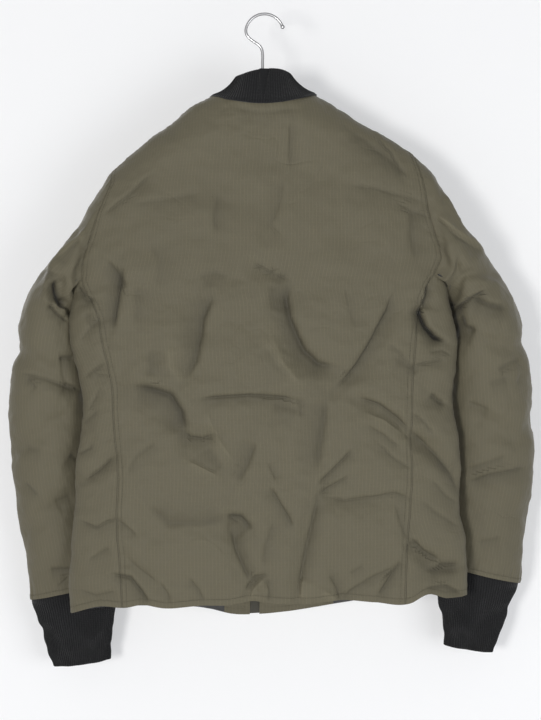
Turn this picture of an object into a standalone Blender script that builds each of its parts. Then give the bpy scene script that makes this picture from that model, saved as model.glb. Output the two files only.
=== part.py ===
"""Lightly padded bomber jacket with a rib collar and rib cuffs, hung on a plain hanger with a wire hook.

Axes: +Z up, the garment's front faces -Y, its back faces +Y, and +X is the wearer's left.
The origin is the inside top of the hook, where a rail holds it. Tables and sizes are in millimetres.

Every cloth piece is a wall. Its outer face is a grid of points worked out from the tables below, and its
inner face is the same grid moved in along the surface's normals. Neighbours share the points of their seam,
which are then drawn apart by the seam gap.
"""

import math

import bmesh
import bpy
import numpy as np

MM = 0.001

# Cloth
WALL = 3.5  # shell, wadding and lining together
RIB_WALL = 3.0
SEAM_GAP = 0.32
RIB_RAISE = 0.9
CUFF_RIBS = 84
COLLAR_RIBS = 116
COLLAR_LIFT = 0.64  # between the neck edge and the collar
COLLAR_BULGE = 3.0  # how far its middle stands out
COLLAR_BULGE_FADE = 0.1  # the share of its length, at each end, over which the bulge fades
COLLAR_END_TURN = 4.0  # degrees between the front's middle and the collar's ends

# Zip
ZIP_WIDTH = 12.0
ZIP_GAP = 0.4  # between the zip's edge and a front
ZIP_RECESS = 0.6  # the tape's face lies this far under the fronts' faces
ZIP_WALL = 2.2
ZIP_HEM_SHORT = 0.15  # the share of its first and last rows by which the zip ends short
ZIP_TOP_SHORT = 0.3
ZIP_HEM = -796.0
ZIP_SHIFT_AT_HEM = 14.0  # the fronts hang a little towards the wearer's left
SLIDER_HALF_WIDTH = 4.5
SLIDER_PLATE = 1.4
SLIDER_DOWN = 10.0  # how far its plates reach down from the zip's top end
SLIDER_UP = 3.0
SLIDER_GAP = 0.35
BAIL_HALF_WIDTH = 1.0
BAIL = {"low": -7.0, "high": 1.0, "clear": 2.6, "bar": 1.4}  # along the zip, and out from the slider's face
PULL_HALF_WIDTH = 3.5
PULL_THICK = 1.4
PULL_BAR = 0.7  # half the thickness of the bar that runs through the bail
PULL_EYE_HALF_WIDTH = 2.2
PULL_EYE_LENGTH = 7.0
PULL_LENGTH = 33.0

# Hanger
WIRE = 3.7  # hook wire's thickness
HOOK_RADIUS = 25.0  # to the middle of the wire
HOOK_TIP_TURN = 157.0  # degrees from +X, where the hook's open end is
HOOK_NECK_TURN = -20.0
HOOK_STEPS = 26
HOOK_SLANT = ((15.8, -36.0), (8.2, -41.5), (4.0, -45.8))  # x and z of the bend between hook and stem
HOOK_STEM = (2.6, -51.0)  # where the stem turns down
HOOK_FOOT = -113.7
WIRE_SIDES = 8
TIP_BALL = 5.4
BALL_TURNS = (100, 70, 40, 15)  # degrees from the ball's own tip
BALL_OUT = 0.75  # how far past the wire's end the ball's middle is, in radii
ARM_REACH = (182.0, 176.0)  # how far the arms reach to the left and to the right
ARM_HALF_DEPTH = 14.0
ARM_THICK = 15.0
ARM_FOOT = 0.75  # the flat underside's share of the depth
ARM_STEPS = 22
ARM_TOP_POINTS = 7
ARM_CREST = -114.0  # the arms' top where they cross under the neck
ARM_CLEARANCE = 0.8  # between the arms and the inside of the shoulder line
ARM_SIDE_CLEARANCE = 5.0

# Grid: how many steps each stretch of cloth has
UPPER_ROWS = 8
LOWER_ROWS = 20
SHOULDER_COLUMNS = 8
BACK_NECK_COLUMNS = 8
FRONT_NECK_COLUMNS = 5
SIDE_COLUMNS = 6
SLEEVE_ROWS = 19
ROW_CROWDING = 1.9  # above 1, the rows crowd towards the shoulder

BACK_POWER = 2.6  # roundness of the body's section at the back: 2 is an ellipse, more is squarer
FRONT_POWER = 2.2
SHOULDER_ROLL = 55.0  # how far below the shoulder line the body reaches its full depth

SLEEVE_BACK_TURN = 125.0  # degrees of the sleeve's ring that the back armhole takes
SLEEVE_SIDE_TURN = 110.0  # degrees that the underarm takes
ARMHOLE_FADE = 0.32  # the share of a sleeve's length over which the armhole's shape turns into ovals
FOLD_EASE = (60.0, 40.0)  # sleeve folds fade in below the armhole and out above the cuff over these lengths
FOLD_FACING = (0.1, 0.5)  # a body fold shows fully where the cloth faces its side by the second value
SHARPEST_SEAM = 0.6  # limits how far the inner face moves out to mitre a seam
SHARP_ANGLE = 50.0  # degrees, for the shading of edges
SAME_PLACE = 0.05


def table(columns, *rows):
    """A table with named columns, as one array for each column."""
    return dict(zip(columns.split(), np.array(rows, float).T))


def fold_table(columns, *rows):
    """A table of folds, as one record for each row."""
    return [dict(zip(columns.split(), row)) for row in rows]


BODY = table(
    "z left right back front middle",
    (-90, 262, 256, 40, 34, 0),
    (-150, 262, 256, 40, 38, 0),
    (-207, 262, 256, 38, 40, 0),
    (-280, 259, 250, 44, 44, 1),
    (-361, 253, 242, 48, 50, 4),
    (-396, 257, 248, 50, 52, 4),
    (-429, 255, 253, 51, 53, 4),
    (-456, 249, 251, 52, 54, 4),
    (-508, 239, 248, 52, 54, 4),
    (-551, 242, 254, 51, 54, 4),
    (-600, 248, 258, 51, 54, 4),
    (-667, 252, 260, 51, 54, 4),
    (-702, 254, 265, 50, 53, 3),
    (-761, 258, 267, 47, 50, 2),
    (-800, 255, 267, 44, 48, 1),
)
BACK_SEAM = table(
    "z left right",
    (-340, 243, 228),
    (-358, 236, 214),
    (-386, 221, 206),
    (-424, 213, 199),
    (-481, 201, 194),
    (-548, 196, 193),
    (-600, 191, 193),
    (-661, 193, 190),
    (-722, 189, 186),
    (-790, 185, 183),
)
SHOULDER = table(
    "x z",
    (-330, -372),
    (-289, -307),
    (-250, -247),
    (-222, -203),
    (-196, -184),
    (-155, -158),
    (-126, -143),
    (-92, -120),
    (-66, -105),
    (-40, -93),
    (0, -88),
    (40, -94),
    (69, -108),
    (103, -128),
    (120, -141),
    (160, -171),
    (203, -207),
    (227, -236),
    (256, -285),
    (330, -400),
)
SHOULDER_POINT = {"left": 203.0, "right": -196.0}
NECK_POINT = {"left": 69.0, "right": -66.0}
BACK_NECK = table("x z", (69, -108), (45, -114.5), (0, -119), (-45, -113), (-66, -105))
FRONT_NECK = table("x z", (69, -108), (64, -124), (52, -143), (35, -158), (18, -168), (0, -171))
ARMHOLE_BACK_LEFT = table("x z", (237, -325), (227, -294), (219, -266), (209, -242), (202, -226))
ARMHOLE_BACK_RIGHT = table("x z", (231, -320), (223, -290), (215, -263), (210, -231), (204, -207))
ARMHOLE_FRONT = table("x z", (214, -330), (201, -300), (194, -265), (194, -235))
FRONT_ARMHOLE_X = {"left": 226.0, "right": 218.0}  # where the armhole meets the front's underarm row
UNDERARM = -347.0
UNDERARM_HALF_WIDTH = 253.0
UNDERARM_TILT = 4.0  # the left underarm is lower and the right one higher, at the body's edge
UNDERARM_DIP = 9.0  # how much lower the side is than the back seam's top
HEM = -778.0  # the hem's usual height, before the hem tables

BACK_HEM = table(
    "x z",
    (-270, -764),
    (-238, -766),
    (-213, -760),
    (-190, -771),
    (-143, -769),
    (-99, -766),
    (-53, -771),
    (-15, -770),
    (16, -768),
    (47, -773),
    (81, -773),
    (130, -777),
    (158, -773),
    (181, -777),
    (213, -776),
    (260, -789),
)
FRONT_HEM = table(
    "x z",
    (-270, -764),
    (-235, -766),
    (-150, -773),
    (-89, -783),
    (-35, -792),
    (6, -796),
    (44, -796),
    (74, -789),
    (150, -784),
    (235, -786),
    (260, -789),
)

SLEEVE = {
    "left": table(
        "outer_x outer_z inner_x inner_z middle half_depth",
        (203, -207, 253, -358, -2, 34),
        (227, -236, 258, -361, -4, 38),
        (256, -285, 263, -366, -7, 45),
        (284, -325, 260, -374, -10, 49),
        (312, -361, 259, -388, -15, 51),
        (325, -405, 257, -422, -22, 51),
        (334, -458, 246, -472, -31, 50),
        (338, -512, 232, -524, -40, 48),
        (338, -550, 231, -556, -44, 47),
        (334, -613, 234, -612, -51, 45),
        (325, -680, 228, -668, -57, 43),
        (316, -740, 212, -718, -63, 42),
        (312, -778, 200, -752, -66, 39),
    ),
    "right": table(
        "outer_x outer_z inner_x inner_z middle half_depth",
        (196, -184, 243, -351, -2, 34),
        (222, -203, 248, -354, -4, 38),
        (250, -247, 253, -358, -7, 45),
        (284, -299, 257, -364, -9, 49),
        (318, -350, 251, -376, -14, 51),
        (338, -392, 251, -396, -20, 51),
        (349, -440, 250, -436, -30, 50),
        (355, -490, 244, -482, -38, 48),
        (359, -545, 245, -536, -43, 47),
        (360, -602, 248, -592, -48, 45),
        (354, -645, 248, -634, -52, 44),
        (345, -700, 241, -684, -57, 42),
        (340, -755, 229, -728, -62, 39),
    ),
}
CUFF = {
    "left": table(
        "outer_x outer_z inner_x inner_z middle half_depth",
        (312, -778.4, 200, -752.4, -66, 38),
        (297, -814, 207, -812, -68, 33),
        (284, -869, 212, -861, -71, 29),
    ),
    "right": table(
        "outer_x outer_z inner_x inner_z middle half_depth",
        (340, -755.4, 229, -728.4, -62, 38),
        (321, -799, 239, -795, -65, 33),
        (309, -849, 247, -842, -67, 29),
    ),
}
COLLAR_TOP = table(
    "turn x y z",
    (0, 1, -33, -128),
    (45, 27, -26, -112),
    (90, 38, -5, -86),
    (135, 27, 14, -76.5),
    (180, 0, 23, -74),
    (225, -25, 14, -75.5),
    (270, -35, -5, -85),
    (315, -25, -26, -112),
    (360, 1, -33, -128),
)

# The largest folds: a trough where deep is below 0, a ridge where it is above. The body's paths are x and z.
BACK_FOLDS = fold_table(
    "deep wide path",
    (-3.5, 15, ((188, -490), (150, -508), (118, -530), (94, -556), (70, -551))),
    (-3.0, 16, ((6, -335), (-27, -350), (-40, -425), (-60, -455), (-88, -467))),
    (-3.5, 14, ((-95, -495), (-125, -467), (-146, -435), (-168, -385))),
    (-4.5, 12, ((-122, -505), (-163, -527), (-190, -550), (-228, -574), (-254, -603))),
    (-4.0, 11, ((-205, -562), (-236, -582), (-256, -615))),
    (-3.0, 14, ((-88, -632), (-144, -639), (-188, -636))),
    (-4.0, 11, ((-62, -644), (-50, -700), (-43, -768))),
    (-4.0, 11, ((42, -676), (33, -722), (19, -745), (15, -770))),
    (-2.5, 15, ((150, -674), (54, -668), (21, -674))),
    (-3.0, 12, ((180, -710), (146, -748))),
    (-4.0, 11, ((-194, -698), (-218, -714), (-250, -722))),
    (-4.0, 11, ((238, -608), (200, -580))),
    (-3.0, 16, ((92, -355), (92, -478))),
)
FRONT_FOLDS = fold_table(
    "deep wide path",
    (-4.0, 16, ((196, -420), (150, -470), (90, -500))),
    (-4.5, 15, ((-205, -430), (-150, -490), (-80, -515))),
    (-3.5, 14, ((170, -600), (120, -640), (60, -650))),
    (-3.5, 14, ((-180, -610), (-120, -660), (-50, -690))),
    (-3.0, 15, ((120, -250), (90, -330), (80, -400))),
    (-3.0, 15, ((-115, -260), (-90, -340), (-85, -420))),
)
# Sleeve paths are the distance down the outer edge from the shoulder and the turn from that edge, in degrees
SLEEVE_FOLDS = {
    "left": fold_table(
        "deep wide path",
        (-9.0, 15, ((150, 95), (185, 125), (200, 150))),
        (5.0, 12, ((95, 25), (150, 55), (195, 80))),
        (-6.0, 15, ((265, 5), (285, 60), (300, 115))),
        (-4.0, 14, ((360, 110), (395, 60), (410, 25))),
        (-5.0, 14, ((480, 120), (500, 70), (520, 30))),
        (-5.0, 16, ((280, -10), (300, -70), (310, -120))),
        (-5.0, 14, ((440, -20), (455, -80), (450, -125))),
        (-6.0, 15, ((150, -60), (190, -90), (215, -130))),
    ),
    "right": fold_table(
        "deep wide path",
        (-9.0, 14, ((130, 100), (170, 118), (205, 140))),
        (-6.0, 12, ((165, 95), (180, 65), (190, 35))),
        (5.0, 12, ((70, 35), (110, 42), (150, 30))),
        (-6.0, 14, ((290, 8), (305, 50), (300, 80))),
        (-6.0, 15, ((400, 8), (425, 60), (405, 105))),
        (-4.0, 14, ((500, 100), (530, 50), (525, 20))),
        (-5.0, 16, ((300, -10), (320, -70), (330, -120))),
        (-5.0, 14, ((450, -20), (470, -80), (460, -125))),
        (-6.0, 15, ((140, -60), (185, -90), (210, -130))),
    ),
}
SLEEVE_GIRTH_PER_TURN = 0.85  # millimetres of cloth that one degree round a sleeve spans

FINISHES = {
    "shell": {"colour": (0.135, 0.122, 0.088), "roughness": 0.75, "metallic": 0.0},
    "rib_knit": {"colour": (0.020, 0.020, 0.020), "roughness": 0.9, "metallic": 0.0},
    "zip_tape": {"colour": (0.030, 0.030, 0.028), "roughness": 0.8, "metallic": 0.0},
    "zip_metal": {"colour": (0.30, 0.29, 0.27), "roughness": 0.4, "metallic": 1.0},
    "hanger_wood": {"colour": (0.45, 0.30, 0.17), "roughness": 0.5, "metallic": 0.0},
    "chrome": {"colour": (0.80, 0.80, 0.80), "roughness": 0.12, "metallic": 1.0},
}


# --------------------------------------------------------------------------------------------------
# Curves and fields


def smooth(at, keys, values):
    """A smooth curve through the values: cubic between neighbours, with each slope taken from both sides."""
    order = np.argsort(keys)
    keys, values = np.asarray(keys, float)[order], np.asarray(values, float)[order]
    slopes = np.gradient(values, keys)
    at = np.clip(at, keys[0], keys[-1])
    low = np.clip(np.searchsorted(keys, at, side="right") - 1, 0, len(keys) - 2)
    step = keys[low + 1] - keys[low]
    f = (at - keys[low]) / step
    return (
        values[low] * (1 + 2 * f) * (1 - f) ** 2
        + values[low + 1] * f**2 * (3 - 2 * f)
        + slopes[low] * step * f * (1 - f) ** 2
        - slopes[low + 1] * step * f**2 * (1 - f)
    )


def column(source, name, at, key="z"):
    return smooth(at, source[key], source[name])


def distance_to_path(x, y, path):
    """How far each point is from a path of straight stretches."""
    nearest = np.full(np.shape(x), np.inf)
    for (x0, y0), (x1, y1) in zip(path, path[1:]):
        run = np.array((x1 - x0, y1 - y0), float)
        along = np.clip(((x - x0) * run[0] + (y - y0) * run[1]) / (run @ run), 0, 1)
        nearest = np.minimum(nearest, np.hypot(x - x0 - along * run[0], y - y0 - along * run[1]))
    return nearest


def fold_height(x, y, folds):
    """The sum of all folds: each falls away from its path as a bell curve."""
    height = np.zeros(np.shape(x))
    for fold in folds:
        height += fold["deep"] * np.exp(-((distance_to_path(x, y, fold["path"]) / fold["wide"]) ** 2))
    return height


def ease(f):
    f = np.clip(f, 0, 1)
    return f * f * (3 - 2 * f)


def unit(vectors):
    length = np.linalg.norm(vectors, axis=-1, keepdims=True)
    return vectors / np.maximum(length, 1e-9)


# --------------------------------------------------------------------------------------------------
# Body


def body_point(turn, z):
    """A point of the body's section at a height: turn 0 is the left edge, a quarter turn is the back."""
    across, deep = np.cos(turn), np.sin(turn)
    half_width = np.where(across >= 0, column(BODY, "left", z), column(BODY, "right", z))
    half_depth = np.where(deep >= 0, column(BODY, "back", z), column(BODY, "front", z))
    power = np.where(deep >= 0, BACK_POWER, FRONT_POWER)
    x = half_width * np.sign(across) * np.abs(across) ** (2 / power)
    y = column(BODY, "middle", z) + half_depth * np.sign(deep) * np.abs(deep) ** (2 / power)
    return x, y


def turn_at(x, z, side):
    """The turn at which the section has this x, at the back or at the front."""
    power = BACK_POWER if side == "back" else FRONT_POWER
    half_width = np.where(x >= 0, column(BODY, "left", z), column(BODY, "right", z))
    across = np.sign(x) * np.clip(np.abs(x) / half_width, 0, 1) ** (power / 2)
    turn = np.arccos(across)
    return turn if side == "back" else 2 * math.pi - turn


def upper_y(x, z, side):
    """How deep the body is above the underarm: its section, rolled in towards the shoulder line."""
    power = BACK_POWER if side == "back" else FRONT_POWER
    half_width = np.where(x >= 0, column(BODY, "left", z), column(BODY, "right", z))
    fall = np.clip((column(SHOULDER, "z", x, key="x") - z) / SHOULDER_ROLL, 0, 1)
    roll = np.sqrt(1 - (1 - fall) ** 2)
    bow = (1 - np.clip(np.abs(x) / half_width, 0, 1) ** power) ** (1 / power)
    sign = 1 if side == "back" else -1
    return column(BODY, "middle", z) + sign * column(BODY, side, z) * bow * roll


def even_turns(z, start, end, steps):
    """Turns that part the section between two turns into even lengths, one row for each height."""
    fine = start[:, None] + (end - start)[:, None] * np.linspace(0, 1, 80)
    x, y = body_point(fine, z[:, None])
    run = np.cumsum(np.hypot(np.diff(x, axis=1), np.diff(y, axis=1)), axis=1)
    run = np.hstack([np.zeros((len(z), 1)), run])
    return np.array([np.interp(np.linspace(0, r[-1], steps + 1), r, f) for r, f in zip(run, fine)])


def zip_middle(z):
    """The x of the zip's middle: 0 at the neck, shifted at the hem."""
    return ZIP_SHIFT_AT_HEM * np.clip((z - FRONT_NECK["z"][-1]) / (ZIP_HEM - FRONT_NECK["z"][-1]), 0, 1)


def underarm_z(x):
    return UNDERARM - UNDERARM_TILT * x / UNDERARM_HALF_WIDTH


def lower_grid(turns, top_z, hem_z):
    """Rows from the underarm to the hem; the turns say where each column lies in its row."""
    f = np.linspace(0, 1, len(turns))[:, None]
    z = top_z + (hem_z - top_z) * f
    x, y = body_point(turns, z)
    return np.stack([x, y, z], axis=-1)


def coons(bottom, top, near, far, rows):
    """The even patch between four edges in x and z. Rows run up, and f is how far up each row is."""
    u = np.linspace(0, 1, len(bottom))[None, :, None]
    v = rows[:, None, None]
    ruled = (1 - v) * bottom[None] + v * top[None]
    cross = (1 - u) * near[:, None] + u * far[:, None]
    corners = (1 - v) * ((1 - u) * bottom[0] + u * bottom[-1]) + v * ((1 - u) * top[0] + u * top[-1])
    return ruled + cross - corners


def edge_curve(start, middle, end, rows):
    """A curve from start to end through a table's points, read at each row's share of its length."""
    points = np.vstack([start, np.stack([middle["x"], middle["z"]], axis=-1), end])
    run = np.concatenate([[0], np.cumsum(np.linalg.norm(np.diff(points, axis=0), axis=1))])
    return np.stack([smooth(rows * run[-1], run, points[:, k]) for k in (0, 1)], axis=-1)


def mirrored(source, sign):
    """The same table with its x on the side that the sign gives."""
    return {"x": source["x"] * sign, "z": source["z"]}


def upper_rows():
    return 1 - (1 - np.linspace(0, 1, UPPER_ROWS + 1)) ** ROW_CROWDING


def shoulder_line(side):
    """Points from the shoulder point to the neck point."""
    x = np.linspace(SHOULDER_POINT[side], NECK_POINT[side], SHOULDER_COLUMNS + 1)
    return np.stack([x, column(SHOULDER, "z", x, key="x")], axis=-1)


def back_grids():
    """The back: a lower grid between the back seams and an upper one between the armholes."""
    steps = 2 * SHOULDER_COLUMNS + BACK_NECK_COLUMNS
    rows_z = np.linspace(UNDERARM, HEM, LOWER_ROWS + 1)
    share = np.linspace(0, 1, steps + 1)
    left, right = column(BACK_SEAM, "left", rows_z), -column(BACK_SEAM, "right", rows_z)
    x = left[:, None] + (right - left)[:, None] * share
    turns = turn_at(x, rows_z[:, None], "back")
    lower = lower_grid(turns, underarm_z(x[0]), column(BACK_HEM, "z", x[-1], key="x"))

    neck_x = np.linspace(NECK_POINT["left"], NECK_POINT["right"], BACK_NECK_COLUMNS + 1)
    neck = np.stack([neck_x, column(BACK_NECK, "z", neck_x, key="x")], axis=-1)
    top = np.vstack([shoulder_line("left"), neck[1:-1], shoulder_line("right")[::-1]])
    bottom = lower[0][:, [0, 2]]
    rows = upper_rows()
    near = edge_curve(bottom[0], ARMHOLE_BACK_LEFT, top[0], rows)
    far = edge_curve(bottom[-1], mirrored(ARMHOLE_BACK_RIGHT, -1), top[-1], rows)
    flat = coons(bottom, top, near, far, rows)
    y = upper_y(flat[..., 0], flat[..., 1], "back")
    upper = np.stack([flat[..., 0], y, flat[..., 1]], axis=-1)
    upper[0] = lower[0]
    return lower, upper


def front_grids(side):
    """A front: its side, which wraps round to the back seam, its lower part, and its upper part."""
    sign = 1 if side == "left" else -1
    rows_z = np.linspace(UNDERARM, HEM, LOWER_ROWS + 1)
    seam = turn_at(sign * column(BACK_SEAM, side, rows_z), rows_z, "back")
    armhole = turn_at(np.full(len(rows_z), sign * FRONT_ARMHOLE_X[side]), rows_z, "front")
    zip_edge = zip_middle(rows_z) + sign * (ZIP_WIDTH / 2 + ZIP_GAP)
    edge = turn_at(zip_edge, rows_z, "front")
    if side == "left":
        armhole, edge = armhole - 2 * math.pi, edge - 2 * math.pi
    steps = SHOULDER_COLUMNS + FRONT_NECK_COLUMNS
    turns = np.hstack(
        [even_turns(rows_z, seam, armhole, SIDE_COLUMNS), even_turns(rows_z, armhole, edge, steps)[:, 1:]]
    )
    hem_x, hem_y = body_point(turns[-1], rows_z[-1:])
    at_back = hem_y > column(BODY, "middle", HEM)
    hem = np.where(at_back, column(BACK_HEM, "z", hem_x, key="x"), column(FRONT_HEM, "z", hem_x, key="x"))
    top_x, _ = body_point(turns[0], rows_z[:1])
    dip = np.zeros(len(hem_x))
    dip[: SIDE_COLUMNS + 1] = UNDERARM_DIP * np.sin(np.linspace(0, math.pi, SIDE_COLUMNS + 1))
    lower = lower_grid(turns, underarm_z(top_x) - dip, hem)

    bottom = lower[0][SIDE_COLUMNS:, [0, 2]]
    line = shoulder_line(side)
    neck_end = sign * (ZIP_WIDTH / 2 + ZIP_GAP)
    neck_turn = np.linspace(0, math.pi / 2, FRONT_NECK_COLUMNS + 1)[1:]
    neck_x = neck_end + (line[-1, 0] - neck_end) * np.cos(neck_turn)
    width = abs(NECK_POINT[side])
    like_x = np.abs(neck_x) / width * FRONT_NECK["x"][0]
    neck_z = line[-1, 1] + column(FRONT_NECK, "z", like_x, key="x") - FRONT_NECK["z"][0]
    top = np.vstack([line, np.stack([neck_x, neck_z], axis=-1)])
    rows = upper_rows()
    near = edge_curve(bottom[0], mirrored(ARMHOLE_FRONT, sign), top[0], rows)
    far = bottom[-1] + (top[-1] - bottom[-1]) * rows[:, None]
    flat = coons(bottom, top, near, far, rows)
    y = upper_y(flat[..., 0], flat[..., 1], "front")
    upper = np.stack([flat[..., 0], y, flat[..., 1]], axis=-1)
    upper[0] = lower[0, SIDE_COLUMNS:]
    return lower, upper


def body_folds(points, normals):
    """Move the body's points along their normals by the folds of the side that they face."""
    x, z = points[:, 0], points[:, 2]
    facing = normals[:, 1]
    low, high = FOLD_FACING
    for folds, sign in ((BACK_FOLDS, 1), (FRONT_FOLDS, -1)):
        weight = ease((sign * facing - low) / (high - low))
        points = points + normals * (fold_height(x, z, folds) * weight)[:, None]
    return points


# --------------------------------------------------------------------------------------------------
# Sleeves and cuffs


def ovals(source, at, key, turns, sign):
    """Ovals between an outer and an inner edge: turn 0 is the outer edge and a quarter turn is the back."""
    outer = np.stack([column(source, "outer_x", at, key) * sign, column(source, "outer_z", at, key)], axis=-1)
    inner = np.stack([column(source, "inner_x", at, key) * sign, column(source, "inner_z", at, key)], axis=-1)
    middle = (outer + inner) / 2
    reach = (outer - inner) / 2
    flat = middle[:, None] + reach[:, None] * np.cos(turns)[None, :, None]
    depth = column(source, "half_depth", at, key)[:, None] * np.sin(turns)
    return np.stack([flat[..., 0], column(source, "middle", at, key)[:, None] + depth, flat[..., 1]], axis=-1)


def with_run(source):
    """The same table with a column for the distance down the outer edge."""
    run = np.concatenate([[0], np.cumsum(np.hypot(np.diff(source["outer_x"]), np.diff(source["outer_z"])))])
    return {**source, "run": run}


def sleeve_grid(side, armhole):
    """Rings from the armhole's own points to the cuff seam. The armhole's shape fades into the ovals."""
    sign = 1 if side == "left" else -1
    source = with_run(SLEEVE[side])
    length = source["run"][-1]
    at = np.linspace(0, length, SLEEVE_ROWS + 1)
    back, side_arc = math.radians(SLEEVE_BACK_TURN), math.radians(SLEEVE_SIDE_TURN)
    turns = np.concatenate(
        [
            np.linspace(0, back, UPPER_ROWS + 1),
            np.linspace(back, back + side_arc, SIDE_COLUMNS + 1)[1:],
            np.linspace(back + side_arc, 2 * math.pi, UPPER_ROWS + 1)[1:],
        ]
    )
    rings = ovals(source, at, "run", turns, sign)
    fade = 1 - ease(at / (ARMHOLE_FADE * length))
    rings = rings + (armhole - rings[0])[None] * fade[:, None, None]
    rings[:, -1] = rings[:, 0]
    degrees = np.degrees(np.where(turns > math.pi, turns - 2 * math.pi, turns))
    down, round_ = np.meshgrid(at, degrees * SLEEVE_GIRTH_PER_TURN, indexing="ij")
    folds = [
        {**fold, "path": tuple((run, turn * SLEEVE_GIRTH_PER_TURN) for run, turn in fold["path"])}
        for fold in SLEEVE_FOLDS[side]
    ]
    shown = ease(at / FOLD_EASE[0]) * ease((length - at) / FOLD_EASE[1])
    height = fold_height(down, round_, folds) * shown[:, None]
    height[:, -1] = height[:, 0]
    return rings, height


def zip_edge(front, plain, folded):
    """A front's zip edge from the hem to the neck: found in the plain sheet, read from the folded one."""
    lower, upper = front
    edge = np.vstack([lower[::-1, -1], upper[1:, -1]])
    nearest = np.linalg.norm(plain[None] - edge[:, None], axis=-1).argmin(axis=1)
    return folded[nearest]


def ring_plane(ring):
    """The normal of the plane that a sleeve's flat ring lies in, which holds the Y direction."""
    return unit(np.cross(ring[0] - ring.mean(axis=0), np.array((0.0, 1.0, 0.0))))


def armhole_loop(back, front, side_row, side):
    """The armhole: down the back's edge, under the arm, and up the front's edge, as one closed ring."""
    edge = 0 if side == "left" else -1
    return np.vstack([back[::-1, edge], side_row[1 : SIDE_COLUMNS + 1], front[1:, 0]])


# --------------------------------------------------------------------------------------------------
# Sheets: points and four-sided faces


def grid_sheet(grid, flip=False):
    """A grid's points and faces. A row is the first index."""
    rows, columns = grid.shape[:2]
    index = np.arange(rows * columns).reshape(rows, columns)
    faces = np.stack([index[:-1, :-1], index[1:, :-1], index[1:, 1:], index[:-1, 1:]], axis=-1).reshape(-1, 4)
    return grid.reshape(-1, 3), faces[:, ::-1] if flip else faces


def welded(sheets):
    """Several sheets as one, with points that coincide made one."""
    offset, points, faces = 0, [], []
    for sheet_points, sheet_faces in sheets:
        points.append(sheet_points)
        faces.append(sheet_faces + offset)
        offset += len(sheet_points)
    points, faces = np.vstack(points), np.vstack(faces)
    _, first, index = np.unique(np.round(points, 2), axis=0, return_index=True, return_inverse=True)
    return points[first], index.reshape(-1)[faces]


def point_normals(points, faces):
    """Each point's normal, not yet of unit length: the sum over its faces, by area."""
    corners = points[faces]
    normal = np.cross(corners[:, 2] - corners[:, 0], corners[:, 3] - corners[:, 1])
    total = np.zeros_like(points)
    for k in range(4):
        np.add.at(total, faces[:, k], normal)
    return total


def boundary_edges(faces):
    """Edges with one face only, in the direction that their face runs."""
    edges = np.vstack([faces[:, [k, (k + 1) % 4]] for k in range(4)])
    known = {(a, b) for a, b in edges}
    return np.array([(a, b) for a, b in edges if (b, a) not in known])


def shared_normals(pieces):
    """For each piece, normals that agree along its seams, and which of its points lie on a seam."""
    every = np.vstack([points for points, _ in pieces.values()])
    owner = np.concatenate([[k] * len(points) for k, (points, _) in enumerate(pieces.values())])
    raw = np.vstack([point_normals(*sheet) for sheet in pieces.values()])
    _, index = np.unique(np.round(every, 2), axis=0, return_inverse=True)
    index = index.reshape(-1)
    total = np.zeros((index.max() + 1, 3))
    np.add.at(total, index, raw)
    owners = np.zeros((index.max() + 1, len(pieces)), bool)
    owners[index, owner] = True
    normals, on_seam = unit(total)[index], owners.sum(axis=1)[index] > 1
    return {
        name: (normals[owner == k], on_seam[owner == k]) for k, name in enumerate(pieces)
    }


def inward(points, faces):
    """From each point, the direction of the middle of the faces around it."""
    middle = points[faces].mean(axis=1)
    total = np.zeros_like(points)
    for k in range(4):
        np.add.at(total, faces[:, k], unit(middle - points[faces[:, k]]))
    return unit(total)


def wall_of(points, faces, normals, on_seam, wall, planar=(), pulled=()):
    """A closed wall's points and faces: the outer sheet, the inner one, and the rims between them.

    A seam's points are drawn away from the plane that both neighbours share. Planar points keep their wall in
    the plane with the given normal, and pulled points only draw back along the sheet.
    """
    own = unit(point_normals(points, faces))
    into = inward(points, faces)
    outer, depth_way = points.copy(), normals.copy()
    for indices, plane in planar:
        depth_way[indices] = unit(depth_way[indices] - (depth_way[indices] @ plane)[:, None] * plane)
    away = into - own
    away = unit(away - (away * normals).sum(axis=1, keepdims=True) * normals)
    outer[on_seam] += away[on_seam] * SEAM_GAP / 2
    outer[list(pulled)] += into[list(pulled)] * SEAM_GAP
    meeting = np.clip((own * normals).sum(axis=1, keepdims=True), SHARPEST_SEAM, 1)
    inner = outer - depth_way * wall / meeting
    count = len(points)
    skin = np.vstack([faces, faces[:, ::-1] + count]).tolist()
    return np.vstack([outer, inner]), skin + rim_faces(points, boundary_edges(faces), count)


def rim_faces(points, edges, count):
    """Two triangles for each edge of a sheet, split the same way in both pieces of a seam."""
    rims = []
    for a, b in edges.tolist():
        if tuple(points[a][::-1]) < tuple(points[b][::-1]):
            rims += [(b, a, b + count), (a, a + count, b + count)]
        else:
            rims += [(b, a, a + count), (b, a + count, b + count)]
    return rims


# --------------------------------------------------------------------------------------------------
# Rib knit


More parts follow.
